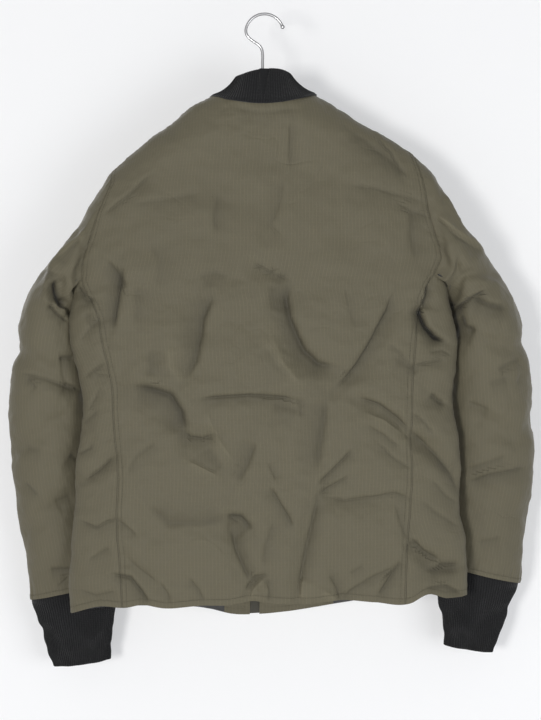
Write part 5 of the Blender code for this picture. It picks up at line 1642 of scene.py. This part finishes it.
def ripstop(vector, pitch, thread):
    """Ripstop cloth: a grid of heavier threads over a fine plain weave.

    The grid's lines are raised cosines to a high power, a pitch apart across and down, and the upright ones
    are stronger. The weave is the product of two sines at the thread's pitch. Height is both, weighted.
    """
    across, down, _ = parts(vector)
    upright, level = (line_mask(at, pitch, GRID_SHARP) for at in (across, down))
    grid = maths("MAXIMUM", upright, level * GRID_LEVEL)
    weave = maths("SINE", across / thread * TURN) * maths("SINE", down / thread * TURN)
    return {"Grid": grid, "Weave": weave, "Height": weave * WEAVE_HEIGHT + grid}


def slow_tone(vector, large, small, strength):
    """Slow changes of tone over a surface: two sizes of noise, from light to dark about 1.

    Tone is 1, plus the strength times the larger noise less its middle, plus half of that for the smaller.
    """
    slow, fine = (noise(vector, scale, Detail=3.0, Roughness=0.55) - 0.5 for scale in (large, small))
    return {"Tone": slow * strength + 1.0 + fine * (strength * 0.5), "Fine": fine}


def rib_rows(vector, pitch):
    """Rib knit: rows of slanting stitches on each rib, and a groove between ribs, which the knit's colour
    paints dark as shade.

    Across counts ribs, so its cosine is the rib's own height. Down is in millimetres. Each row of stitches is
    a cosine down the rib that leans away from the rib's middle, like a chain of small Vs.
    """
    across, down, _ = parts(vector)
    rib = maths("COSINE", across * TURN) * -0.5 + 0.5
    lean = maths("ABSOLUTE", maths("SINE", across * math.pi)) * STITCH_LEAN
    stitch = maths("COSINE", (down + lean) / pitch * TURN) * 0.5 + 0.5
    return {"Rib": rib, "Stitch": stitch, "Height": stitch * (rib * (1 - GROOVE_HEIGHT) + GROOVE_HEIGHT)}


def creases_and_sewing(crease, depth, beside, seam, edge):
    """Crease lines and stitch lines as height in millimetres and as shade.

    A crease is a bell curve as deep as its depth, and shade is painted into the colour in it and beside it,
    darker by a trough and lighter by a ridge. Each stitch line is a narrow bell curve at its distance from
    the seam or from the hem's edge. Shade is 1, less a share of each.
    """
    groove = hump(maths("MAXIMUM", crease * LINE_LEAN[0], crease * -LINE_LEAN[1]), 1.0) * depth
    inner, outer = (hump(seam - at, LINE_WIDTH) for at in SEAM_LINES)
    sewn = outer * SECOND_LINE + inner + hump(edge - HEM_LINES[0], LINE_WIDTH)
    # Painted shade: the colour darkens in and beside a trough and lightens by a ridge
    shade = maths("MAXIMUM", groove * CREASE_PAINTED_SHADE + (beside * PAINTED_SHADE_BESIDE_CREASE + 1.0), DARKEST_PAINTED_SHADE)
    shade = shade - sewn * LINE_SHADE - hump(seam, JOINT_WIDTH) * JOINT_SHADE
    return {"Height": groove * CREASE_CORE_DEEP - sewn * LINE_DEEP, "Shade": shade}


def small_wrinkles(vector, scale):
    """Small wrinkles: crisp troughs along a noise's middle value, shown only where a slower noise is high.

    Height is minus a bell curve of the noise less 0.5, times the slower noise's rise between two values.
    """
    low, high = WRINKLES_SHOWN
    trough = hump(noise(vector, scale, Detail=2.0, Distortion=0.5) - 0.5, WRINKLE_WIDTH)
    slow = noise(vector, scale * 0.7, Detail=2.0, Distortion=0.0)
    shown = Value(node(vector.socket.id_data, "MapRange", Value=slow, From_Min=low, From_Max=high).outputs[0])
    return {"Height": trough * (shown * -1.0)}


SEWN_LABELS = [label for label, _ in SEWN_FIELDS]

# Each effect's function and its inputs in order, where None is a vector and the rest are numbers
EFFECTS = {
    "Ripstop": (ripstop, {"Vector": None, "Grid Pitch": 4.7, "Thread Pitch": 0.42}),
    "Slow tone": (slow_tone, {"Vector": None, "Large": 9.0, "Small": 60.0, "Strength": 0.2}),
    "Rib knit rows": (rib_rows, {"Vector": None, "Row Pitch": 1.9}),
    "Creases and sewing": (creases_and_sewing, dict.fromkeys(SEWN_LABELS, 0.0)),
    "Small wrinkles": (small_wrinkles, {"Vector": None, "Scale": 14.0}),
}


def effect_group(name):
    """An effect's node group, made once, with named sockets for what its function takes and gives."""
    group = bpy.data.node_groups.get(name)
    if group:
        return group
    group = bpy.data.node_groups.new(name, "ShaderNodeTree")
    work_out, inputs = EFFECTS[name]
    for label, value in inputs.items():
        kind = "NodeSocketVector" if value is None else "NodeSocketFloat"
        socket = group.interface.new_socket(label, in_out="INPUT", socket_type=kind)
        if value is not None:
            socket.default_value = value
    start = group.nodes.new("NodeGroupInput")
    found = work_out(*(Value(start.outputs[label]) for label in inputs))
    for label in found:
        group.interface.new_socket(label, in_out="OUTPUT", socket_type="NodeSocketFloat")
    feed_all(group.nodes.new("NodeGroupOutput").inputs, found)
    return group


def placed(tree, name, **values):
    """An effect placed in a material with its own values: its outputs by name."""
    made = tree.nodes.new("ShaderNodeGroup")
    made.node_tree = effect_group(name)
    feed_all(made.inputs, values)
    return {socket.name: Value(socket) for socket in made.outputs}


# ---- Materials ----

# Ripstop
SHELL_ROUGH = 0.68
GLOSS_WANDER = 0.18
GRID_WANDER = 2.4  # how much more the grid shows in some places than in others
GRID_SHARE = 0.25  # how much the grid lightens the cloth on average, taken off the cloth between its threads
WEAVE_TONE = 0.04
THREAD_HEIGHT = 0.1  # millimetres
GRAIN_HEIGHT = 1.2  # against the threads' height
WRINKLE_HEIGHT = 0.5  # millimetres

# Bump heights, in millimetres
LINING_RELIEF = 0.03
STITCH_RELIEF = 0.45
TWILL_RELIEF = 0.1
GRAIN_RELIEF = 0.15

# Knit: painted light and shade, how light the loops and the ribs are painted and how dark the grooves between
# them, and how high the fuzz is
LOOP_PAINTED_LIGHT = 0.22
RIB_PAINTED_LIGHT = 0.3
GROOVE_PAINTED_SHADE = 0.78
FUZZ_HEIGHT = 1.1

# Zip tape, metal and wood
TWILL_PITCH = 1.1
TWILL_SHARP = 1.5
TWILL_TONE = 0.35
TWILL_DARK = 0.15
PAINTED_REFLECTION_SPREAD = 0.45  # a small power spreads the painted reflection's dark edge far over a metal's roundness
GRAIN_TONE = 0.3
GRAIN_DARK = 0.25


def new_material(name, colour, roughness, metallic=0.0, **sockets):
    """A material with one Principled shader, and the values that are the same all over set on its sockets."""
    made = bpy.data.materials.new(name)
    made.use_nodes = True
    made.diffuse_color = (*colour, 1)
    shader = made.node_tree.nodes["Principled BSDF"]
    shader.inputs["Base Color"].default_value = (*colour, 1)
    feed_all(shader.inputs, {"Roughness": roughness, "Metallic": metallic, **sockets})
    return made, made.node_tree, shader


def tint(shader, colour, factor):
    """Give a shader a colour times a changing number."""
    feed(shader.inputs["Base Color"], scaled(shader.id_data, colour, factor))


def bumped(shader, height, distance):
    """Put a Bump node between a height and the shader's normal. The distance is in metres."""
    bump = node(shader.id_data, "Bump", Strength=1.0, Distance=distance, Height=height)
    feed(shader.inputs["Normal"], Value(bump.outputs[0]))


def object_place(tree):
    """The piece's own place in space, in metres."""
    return Value(node(tree, "TexCoord").outputs["Object"])


def cloth_place(tree):
    """The piece's own cloth coordinates."""
    return Value(node(tree, "UVMap", uv_map=CLOTH_MAP).outputs[0])


def shell_material(cloth):
    """Olive ripstop: its grid is a little lighter, its tone wanders, seams show darker, and creases have
    shade painted into the colour.
    """
    colour = tuple(cloth.colour)
    gloss = {"Sheen_Weight": 0.05, "Specular_IOR_Level": 0.3}
    made, tree, shader = new_material("ripstop", colour, roughness=SHELL_ROUGH, **gloss)
    place = scaled(tree, cloth_place(tree), 1 / MM)
    threads = placed(tree, "Ripstop", Vector=place, Grid_Pitch=cloth.grid_pitch / MM)
    tone = placed(tree, "Slow tone", Vector=object_place(tree), Large=7.0, Small=85.0, Strength=0.08)
    wrinkles = placed(tree, "Small wrinkles", Vector=object_place(tree))
    fields = {}
    for label, field in SEWN_FIELDS:
        fields[label] = Value(node(tree, "Attribute", attribute_name=field).outputs["Fac"])
    sewn = placed(tree, "Creases and sewing", **fields)
    between = 1 - cloth.grid_contrast * GRID_SHARE
    grid = threads["Grid"] * (tone["Fine"] * GRID_WANDER + 1.0) * cloth.grid_contrast + between
    # The colour takes the painted crease shade, and its lighter ridges, from the sewing group's Shade
    tint(shader, colour, (threads["Weave"] * WEAVE_TONE + grid) * tone["Tone"] * sewn["Shade"])
    feed(shader.inputs["Roughness"], tone["Fine"] * GLOSS_WANDER + SHELL_ROUGH)
    grain = (tone["Fine"] * GRAIN_HEIGHT + threads["Height"]) * THREAD_HEIGHT
    bumped(shader, grain + wrinkles["Height"] * WRINKLE_HEIGHT + sewn["Height"], MM)
    return made


def lining_material(cloth):
    """Plain dark lining with a soft sheen and slow changes of tone."""
    colour = tuple(cloth.lining_colour)
    made, tree, shader = new_material("lining", colour, roughness=0.5, Sheen_Weight=0.3)
    tone = placed(tree, "Slow tone", Vector=object_place(tree), Large=14.0, Small=120.0, Strength=0.5)
    tint(shader, colour, tone["Tone"])
    place = scaled(tree, cloth_place(tree), 1 / MM)
    threads = placed(tree, "Ripstop", Vector=place, Grid_Pitch=0.9, Thread_Pitch=0.4)
    bumped(shader, threads["Height"], LINING_RELIEF * MM)
    return made


def knit_material(knit):
    """Charcoal rib knit: shade painted darker between the ribs and the rows of loops, light painted on the
    ribs and loops, with a fuzzy sheen.
    """
    colour = tuple(knit.colour)
    fuzz = {"Sheen_Weight": 0.1, "Specular_IOR_Level": 0.2}
    made, tree, shader = new_material("rib knit", colour, roughness=0.95, **fuzz)
    rows = placed(tree, "Rib knit rows", Vector=cloth_place(tree), Row_Pitch=knit.row_pitch / MM)
    tone = placed(tree, "Slow tone", Vector=object_place(tree), Large=18.0, Small=420.0, Strength=0.55)
    # Painted shade in the grooves and between rows of loops, painted light on the ribs and loops
    tint(shader, colour, (rows["Stitch"] * LOOP_PAINTED_LIGHT + (rows["Rib"] * RIB_PAINTED_LIGHT + GROOVE_PAINTED_SHADE)) * tone["Tone"])
    bumped(shader, tone["Fine"] * FUZZ_HEIGHT + rows["Height"], STITCH_RELIEF * MM)
    return made


def thread_material(stitching):
    """Sewing thread, a shade off the shell, with a twist that shows as fine changes of tone."""
    colour = tuple(stitching.colour)
    made, tree, shader = new_material("sewing thread", colour, roughness=0.6, Specular_IOR_Level=0.3)
    tone = placed(tree, "Slow tone", Vector=object_place(tree), Large=60.0, Small=900.0, Strength=0.5)
    tint(shader, colour, tone["Tone"])
    return made


def tape_material(colour):
    """Woven zip tape: a fine twill that slants across the tape."""
    made, tree, shader = new_material("zip tape", colour, roughness=0.8, Sheen_Weight=0.2)
    across, _, up = parts(scaled(tree, object_place(tree), 1 / MM))
    twill = line_mask(across + up, TWILL_PITCH, TWILL_SHARP)
    tint(shader, colour, twill * TWILL_TONE + (1 - TWILL_DARK))
    bumped(shader, twill, TWILL_RELIEF * MM)
    return made


def metal_material(name, colour, roughness, brushed, edge=0.0, metallic=1.0):
    """Metal whose gloss wanders a little: Roughness is its own value plus the fine noise, weighted.

    The edge is a painted reflection: the colour darkens where the surface turns away, standing in for the
    dark room that polished metal reflects.
    """
    rim = (1 - edge, 1 - edge, 1 - edge, 1)
    made, tree, shader = new_material(name, colour, roughness, metallic, Specular_Tint=rim)
    tone = placed(tree, "Slow tone", Vector=object_place(tree), Large=40.0, Small=700.0, Strength=0.15)
    feed(shader.inputs["Roughness"], tone["Fine"] * brushed + roughness)
    # Painted reflection: the colour is darker towards the edges
    turned = maths("POWER", Value(node(tree, "LayerWeight").outputs["Facing"]), PAINTED_REFLECTION_SPREAD)
    tint(shader, colour, tone["Tone"] * (turned * -edge + 1.0))
    return made


def wood_material(colour):
    """Plain satin wood: growth rings stretched along the arms, darker where the rings close up."""
    satin = {"Coat_Weight": 0.25, "Coat_Roughness": 0.3}
    made, tree, shader = new_material("hanger wood", colour, roughness=0.45, **satin)
    place = Value(node(tree, "Mapping", Vector=object_place(tree), Scale=(3.0, 60.0, 60.0)).outputs[0])
    rings = node(tree, "TexWave", wave_type="RINGS", Vector=place, Scale=0.6, Distortion=4.0, Detail=3.0)
    grain = Value(rings.outputs["Fac"])
    tone = placed(tree, "Slow tone", Vector=place, Large=1.0, Small=6.0, Strength=0.5)
    tint(shader, colour, (grain * GRAIN_TONE + (1 - GRAIN_DARK)) * tone["Tone"])
    bumped(shader, grain, GRAIN_RELIEF * MM)
    return made


def paint_material(name, colour, glow=0.0):
    """Matt studio paint that gives off a little light of its own."""
    lit = {"Emission Strength": glow, "Emission Color": (0.98, 0.985, 1.0, 1)}
    made, tree, shader = new_material(name, colour, roughness=0.95, Specular_IOR_Level=0.1, **lit)
    tone = placed(tree, "Slow tone", Vector=object_place(tree), Large=1.2, Small=30.0, Strength=0.015)
    tint(shader, colour, tone["Tone"])
    return made, shader


def mixed(tree, chance, first, second, output):
    """Mix two shaders by a changing number, into an output's surface."""
    mix = tree.nodes.new("ShaderNodeMixShader")
    for socket, source in zip(mix.inputs, (chance, first.outputs[0], second.outputs[0])):
        tree.links.new(source, socket)
    tree.links.new(mix.outputs[0], tree.nodes[output].inputs["Surface"])


def seen_from_front_only(shader):
    """Make a surface clear from behind, so that views from the other side look through it."""
    tree = shader.id_data
    behind = node(tree, "NewGeometry").outputs["Backfacing"]
    mixed(tree, behind, shader, node(tree, "BsdfTransparent"), "Material Output")


# ---- Making pieces ----


def facing_out(points, faces):
    """Whether a closed body's four-sided faces point out: its volume comes out above 0."""
    a, b, c, d = (points[faces[:, k]] for k in range(4))
    return np.einsum("ij,ij->", a, np.cross(b, c)) + np.einsum("ij,ij->", a, np.cross(c, d)) > 0


def quad_mesh(name, points, faces):
    """A mesh of four-sided faces."""
    mesh = bpy.data.meshes.new(name)
    mesh.vertices.add(len(points))
    mesh.vertices.foreach_set("co", points.astype(np.float32).ravel())
    mesh.loops.add(faces.size)
    mesh.loops.foreach_set("vertex_index", faces.astype(np.int32).ravel())
    mesh.polygons.add(len(faces))
    mesh.polygons.foreach_set("loop_start", np.arange(0, faces.size, 4, dtype=np.int32))
    mesh.polygons.foreach_set("loop_total", np.full(len(faces), 4, dtype=np.int32))
    return mesh


def add_piece(name, body, materials, slot, *nodes, weave=None, finish=None, sharp=50.0, fields=None):
    """A piece made from points in millimetres and faces, with its cloth coordinates, fields and materials.

    It rides on the jacket's body and hides the imported solids that it stands for. The slot is not used.
    """
    points, faces = body
    if not facing_out(points, faces):
        faces, weave = faces[:, ::-1], None if weave is None else weave[:, ::-1]
    mesh = quad_mesh(name, points * MM, faces)
    if weave is not None:
        layer = mesh.uv_layers.new(name=CLOTH_MAP)
        layer.data.foreach_set("uv", weave.astype(np.float32).ravel())
    for label, values in (fields or {}).items():
        mesh.attributes.new(label, "FLOAT", "POINT").data.foreach_set("value", values.astype(np.float32))
    for material in materials:
        mesh.materials.append(material)
    if finish is not None:
        mesh.polygons.foreach_set("material_index", finish)
    mesh.update(calc_edges=True)
    mesh.validate()
    mesh.shade_smooth()
    mesh.set_sharp_from_angle(angle=math.radians(sharp))
    added = bpy.data.objects.new(name, mesh)
    bpy.context.scene.collection.objects.link(added)
    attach(added, BODY_NAME)
    if nodes:
        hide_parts(*nodes)
    return added


def join_shells(shells):
    """Several bodies' points and faces as one."""
    starts = np.cumsum([0] + [len(points) for points, _ in shells])
    faces = [own + start for (_, own), start in zip(shells, starts)]
    return np.vstack([points for points, _ in shells]), np.vstack(faces)


# ---- Settings ----


def colour_of(name, description, default):
    """A setting that is a colour."""
    return bpy.props.FloatVectorProperty(name=name, description=description, subtype="COLOR", default=default)


def length_of(name, description, default, smallest=-10.0):
    """A setting that is a length, in metres."""
    return bpy.props.FloatProperty(
        name=name, description=description, unit="LENGTH", default=default, min=smallest
    )


def lengths_of(name, description, default):
    """A setting that is three lengths, in metres."""
    return bpy.props.FloatVectorProperty(
        name=name, description=description, subtype="XYZ", unit="LENGTH", default=default
    )


def number_of(name, description, default, largest=1000.0):
    """A setting that is a plain number or a share."""
    return bpy.props.FloatProperty(
        name=name, description=description, subtype="FACTOR", default=default, min=0.0, max=largest
    )


class ClothSettings(bpy.types.PropertyGroup):
    """The shell's cloth."""

    colour: colour_of("Shell colour", "The ripstop's own colour", (0.108, 0.0966, 0.0628))
    lining_colour: colour_of("Lining colour", "The lining's own colour", (0.014, 0.0135, 0.013))
    grid_pitch: length_of("Grid pitch", "Between two heavy threads", 0.0047, 0.001)
    grid_contrast: number_of("Grid contrast", "How much lighter the heavy threads are", 0.17, 1.0)
    crease_depth: number_of("Crease depth", "Scales every crease", 1.15, 3.0)
    undulation: number_of("Undulation", "Scales the padding's soft waves", 1.0, 3.0)


class KnitSettings(bpy.types.PropertyGroup):
    """The collar's and cuffs' rib knit."""

    colour: colour_of("Knit colour", "The yarn's own colour", (0.0112, 0.0114, 0.0122))
    rib_height: length_of("Rib height", "How far a rib stands out", 0.0011, 0.0)
    row_pitch: length_of("Row pitch", "Between two rows of stitches", 0.0019, 0.0005)


class StitchSettings(bpy.types.PropertyGroup):
    """The sewing thread's size and place."""

    colour: colour_of("Thread colour", "The thread's own colour", (0.082, 0.0735, 0.0485))
    pitch: length_of("Stitch pitch", "Between two stitches' middles", 0.0034, 0.001)
    length: length_of("Stitch length", "How long one stitch shows", 0.0028, 0.001)
    thickness: length_of("Thread thickness", "The thread's width", 0.0006, 0.0001)


class ZipSettings(bpy.types.PropertyGroup):
    """The zip's teeth, tape and metal."""

    tape_colour: colour_of("Tape colour", "The tape's own colour", (0.05, 0.047, 0.036))
    metal_colour: colour_of("Metal colour", "Teeth, slider and pull tab", (0.30, 0.29, 0.27))
    tooth_pitch: length_of("Tooth pitch", "Between neighbouring teeth", 0.00165, 0.0005)
    tooth_size: lengths_of("Tooth size", "Across, along and out", (0.0042, 0.0013, 0.0019))


class HangerSettings(bpy.types.PropertyGroup):
    """The hanger's finishes."""

    wood_colour: colour_of("Wood colour", "The arms' own colour", (0.45, 0.30, 0.17))
    chrome_colour: colour_of("Hook colour", "The hook's own colour", (0.72, 0.72, 0.735))
    wire_sides: bpy.props.IntProperty(
        name="Wire sides", description="Points round the hook's wire", default=24, min=8, max=64
    )


class StageSettings(bpy.types.PropertyGroup):
    """The plain studio."""

    camera_place: lengths_of("Camera place", "Where the camera stands, chest high", (-0.0079, 2.4, -0.455))
    lens: number_of("Lens", "The camera's lens, in millimetres", 90.9)
    wall_behind: length_of("Wall distance", "From the hook to the wall it hangs before", 0.112)
    wall_colour: colour_of("Wall colour", "The wall's own paint", (0.55, 0.553, 0.56))
    floor_height: length_of("Floor height", "Where the floor lies", -1.3)
    key_power: number_of("Key light", "The window-like light from the left", 97.0)
    fill_power: number_of("Fill light", "The wide light beside the camera", 36.5)
    front_power: number_of("Front light", "The lights on the garment's front", 31.0)
    sky: number_of("Sky", "The even light from all round", 0.4)
    glow: number_of("Wall glow", "The wall's own light", 0.33)


SETTINGS = {
    "jacket_cloth": ClothSettings,
    "jacket_knit": KnitSettings,
    "jacket_stitching": StitchSettings,
    "jacket_zip": ZipSettings,
    "jacket_hanger": HangerSettings,
    "jacket_stage": StageSettings,
}


# ---- Operators ----


# How rough, how brushed, how dark its painted reflection makes it towards its edges, and how metallic each
# metal is
ZIP_METAL = {"roughness": 0.36, "brushed": 0.25}
CHROME = {"roughness": 0.22, "brushed": 0.06, "edge": 0.97, "metallic": 0.5}


def shared(name, make, *values, **more):
    """A material by its name, made once."""
    return bpy.data.materials.get(name) or make(*values, **more)


def sheets_of(context):
    """The jacket's panels, with the folds that the cloth's settings give them."""
    cloth = context.scene.jacket_cloth
    return garment(round(cloth.crease_depth, 4), round(cloth.undulation, 4))


def add_shell_panel(context, name):
    """One shell panel as a lined wall of cloth."""
    cloth = context.scene.jacket_cloth
    sheet = sheets_of(context)[name]
    materials = shared("ripstop", shell_material, cloth), shared("lining", lining_material, cloth)
    wall = sheet["wall_points"], sheet["wall_faces"]
    layers = {"weave": sheet["wall_weave"] * MM, "fields": sheet["wall_fields"]}
    layers["finish"] = sheet["wall_finish"]
    piece = add_piece(f"{name}_cloth", wall, materials, "shell", name, sharp=70.0, **layers)


def add_knit(context, node_name, band):
    """One rib band, from its points, faces and cloth coordinates."""
    *body, weave = band
    yarn = [shared("rib knit", knit_material, context.scene.jacket_knit)]
    piece = add_piece(f"{node_name}_knit", body, yarn, "rib_knit", node_name, weave=weave, sharp=80.0)


class JACKET_OT_back(bpy.types.Operator):
    """Make the back panel"""

    bl_idname = "jacket.back"
    bl_label = "Back"

    def execute(self, context):
        add_shell_panel(context, "back")
        return {"FINISHED"}


class JACKET_OT_fronts(bpy.types.Operator):
    """Make both front panels, which wrap round the sides to the back seams"""

    bl_idname = "jacket.fronts"
    bl_label = "Fronts"

    def execute(self, context):
        for side in SIDES:
            add_shell_panel(context, f"front_{side}")
        return {"FINISHED"}


class JACKET_OT_sleeves(bpy.types.Operator):
    """Make both sleeves"""

    bl_idname = "jacket.sleeves"
    bl_label = "Sleeves"

    def execute(self, context):
        for side in SIDES:
            add_shell_panel(context, f"sleeve_{side}")
        return {"FINISHED"}


class JACKET_OT_collar(bpy.types.Operator):
    """Make the rib collar"""

    bl_idname = "jacket.collar"
    bl_label = "Collar"

    def execute(self, context):
        raised = context.scene.jacket_knit.rib_height / MM
        add_knit(context, "collar", collar_band(sheets_of(context), raised))
        return {"FINISHED"}


class JACKET_OT_cuffs(bpy.types.Operator):
    """Make both rib cuffs"""

    bl_idname = "jacket.cuffs"
    bl_label = "Cuffs"

    def execute(self, context):
        raised = context.scene.jacket_knit.rib_height / MM
        for side in SIDES:
            add_knit(context, f"cuff_{side}", cuff_band(side, raised))
        return {"FINISHED"}


class JACKET_OT_stitching(bpy.types.Operator):
    """Sew every stitch line, one piece of thread for each panel"""

    bl_idname = "jacket.stitching"
    bl_label = "Stitching"

    def execute(self, context):
        settings = context.scene.jacket_stitching
        sizes = [value / MM for value in (settings.pitch, settings.length, settings.thickness)]
        thread = [shared("sewing thread", thread_material, settings)]
        for name, lines in seam_stitches(sheets_of(context)).items():
            sewn = join_shells([stitches(line, *sizes) for line in lines])
            add_piece(f"{name}_stitches", sewn, thread, "shell", sharp=80.0)
        return {"FINISHED"}


class JACKET_OT_zip(bpy.types.Operator):
    """Make the zip's tape and teeth, and give the slider and the pull tab their metal"""

    bl_idname = "jacket.zip"
    bl_label = "Zip"

    def execute(self, context):
        settings = context.scene.jacket_zip
        sheets = sheets_of(context)
        rows = zip_line(sheets)
        tape = [shared("zip tape", tape_material, tuple(settings.tape_colour))]
        metal = [shared("zip metal", metal_material, "zip metal", tuple(settings.metal_colour), **ZIP_METAL)]
        size = [value / MM for value in settings.tooth_size]
        woven = tape_wall(even_rows(rows, TAPE_STEP))
        piece = add_piece("zip_tape_cloth", woven, tape, "zip_tape", "zip_tape")
        chain = zip_teeth(rows, settings.tooth_pitch / MM, size)
        teeth = add_piece("zip_teeth", chain, metal, "zip_metal", sharp=60.0)
        for name in ("zip_slider", "zip_pull"):
            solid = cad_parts[name]
            solid.data.materials.clear()
            solid.data.materials.append(metal[0])
        return {"FINISHED"}


class JACKET_OT_hanger(bpy.types.Operator):
    """Make the hanger's arms and its wire hook"""

    bl_idname = "jacket.hanger"
    bl_label = "Hanger"

    def execute(self, context):
        settings = context.scene.jacket_hanger
        wood = [shared("hanger wood", wood_material, tuple(settings.wood_colour))]
        wire = [shared("hook chrome", metal_material, "hook chrome", tuple(settings.chrome_colour), **CHROME)]
        add_piece("hanger_arms_wood", arm_rings(), wood, "hanger_wood", "hanger_arms")
        add_piece("hanger_hook_wire", hook_rings(settings.wire_sides), wire, "chrome", "hanger_hook")
        return {"FINISHED"}


# The stage, in metres
GARMENT_MIDDLE = (0.0, 0.0, -0.45)
STAGE_REACH = 4.0
WALL_TOP = 2.2
FLOOR_COLOUR = (0.4, 0.4, 0.405)
FLOOR_GLOW = 0.3
SKY_LIGHT = (0.96, 0.975, 1.0, 1)
SKY_SEEN = (0.9, 0.905, 0.915, 1)
KEY = {"place": (1.53, 4.14, -0.65), "size": 0.76, "colour": (1.0, 0.985, 0.96)}
FILL = {"place": (-1.5, 2.2, -1.1), "size": 1.6, "colour": (0.97, 0.985, 1.0)}
FRONT_LEFT = {"place": (1.6, -2.4, 0.5), "size": 1.6}
FRONT_RIGHT = {"place": (-1.9, -2.2, -0.2), "size": 2.0}
FRONT_RIGHT_SHARE = 0.6  # the right front light's power, against the left one's


def add_plane(name, corners, material):
    """A flat four-cornered backdrop, which isn't part of the object."""
    mesh = bpy.data.meshes.new(name)
    mesh.from_pydata(corners, [], [(0, 1, 2, 3)])
    mesh.materials.append(material)
    added = bpy.data.objects.new(name, mesh)
    bpy.context.scene.collection.objects.link(added)
    return added


def add_light(name, power, place, size, colour=(1.0, 1.0, 1.0)):
    """A square soft light at a place, turned to face the middle of the garment."""
    light = bpy.data.lights.new(name, "AREA")
    light.size, light.energy, light.color = size, power, colour
    added = bpy.data.objects.new(name, light)
    added.location = place
    way = np.subtract(GARMENT_MIDDLE, place)
    level = math.hypot(way[0], way[1])
    added.rotation_euler = (math.atan2(level, -way[2]), 0.0, math.atan2(-way[0], way[1]))
    bpy.context.scene.collection.objects.link(added)


def add_room(settings):
    """The floor, and the wall behind the garment, which throws no shadow and is clear from behind."""
    floor_paint, _ = paint_material("floor paint", FLOOR_COLOUR, FLOOR_GLOW)
    wall_paint, shader = paint_material("wall paint", tuple(settings.wall_colour), settings.glow)
    seen_from_front_only(shader)
    low, y, reach = settings.floor_height, -settings.wall_behind, STAGE_REACH
    floor = [(-reach, -reach, low), (reach, -reach, low), (reach, reach, low), (-reach, reach, low)]
    add_plane("floor", floor, floor_paint)
    wall = [(reach, y, low), (-reach, y, low), (-reach, y, WALL_TOP), (reach, y, WALL_TOP)]
    add_plane("wall", wall, wall_paint).visible_shadow = False


def add_sky(context, strength):
    """An even sky that lights with its own strength and looks almost white where the camera sees it."""
    world = bpy.data.worlds.new("pale sky")
    world.use_nodes = True
    context.scene.world = world
    tree = world.node_tree
    sky = tree.nodes["Background"]
    feed_all(sky.inputs, {"Color": SKY_LIGHT, "Strength": strength})
    seen = node(tree, "Background", Color=SKY_SEEN)
    mixed(tree, node(tree, "LightPath").outputs["Is Camera Ray"], sky, seen, "World Output")


def add_camera(context, settings):
    """The camera, which looks level at the garment's back."""
    context.scene.view_settings.view_transform = "Standard"
    camera = bpy.data.objects.new("camera", bpy.data.cameras.new("camera"))
    camera.data.lens = settings.lens
    camera.location = settings.camera_place
    camera.rotation_euler = (math.pi / 2, 0.0, math.pi)
    context.scene.collection.objects.link(camera)
    context.scene.camera = camera


class JACKET_OT_stage(bpy.types.Operator):
    """Make the pale floor and wall, the soft lights, the sky and the camera"""

    bl_idname = "jacket.stage"
    bl_label = "Stage"

    def execute(self, context):
        settings = context.scene.jacket_stage
        add_room(settings)
        add_light("key", settings.key_power, **KEY)
        add_light("fill", settings.fill_power, **FILL)
        add_light("front left", settings.front_power, **FRONT_LEFT)
        add_light("front right", settings.front_power * FRONT_RIGHT_SHARE, **FRONT_RIGHT)
        add_sky(context, settings.sky)
        add_camera(context, settings)
        return {"FINISHED"}


OPERATORS = (
    JACKET_OT_back,
    JACKET_OT_fronts,
    JACKET_OT_sleeves,
    JACKET_OT_collar,
    JACKET_OT_cuffs,
    JACKET_OT_zip,
    JACKET_OT_stitching,
    JACKET_OT_hanger,
    JACKET_OT_stage,
)


class JACKET_PT_panel(bpy.types.Panel):
    """Lists the jacket's settings and the operators that make it"""

    bl_idname = "JACKET_PT_panel"
    bl_label = "Padded bomber jacket"
    bl_space_type = "VIEW_3D"
    bl_region_type = "UI"
    bl_category = "Jacket"

    def draw(self, context):
        for name, group in SETTINGS.items():
            box = self.layout.box()
            box.label(text=group.__doc__.rstrip("."))
            settings = getattr(context.scene, name)
            for key in group.__annotations__:
                box.prop(settings, key)
        for operator in OPERATORS:
            self.layout.operator(operator.bl_idname)


CLASSES = (*SETTINGS.values(), *OPERATORS, JACKET_PT_panel)


def register():
    for cls in CLASSES:
        bpy.utils.register_class(cls)
    for name, group in SETTINGS.items():
        setattr(bpy.types.Scene, name, bpy.props.PointerProperty(type=group))


def unregister():
    for name in SETTINGS:
        delattr(bpy.types.Scene, name)
    for cls in reversed(CLASSES):
        bpy.utils.unregister_class(cls)


def main():
    register()
    for operator in OPERATORS:
        group, name = operator.bl_idname.split(".")
        getattr(getattr(bpy.ops, group), name)()


if __name__ == "__main__":
    main()
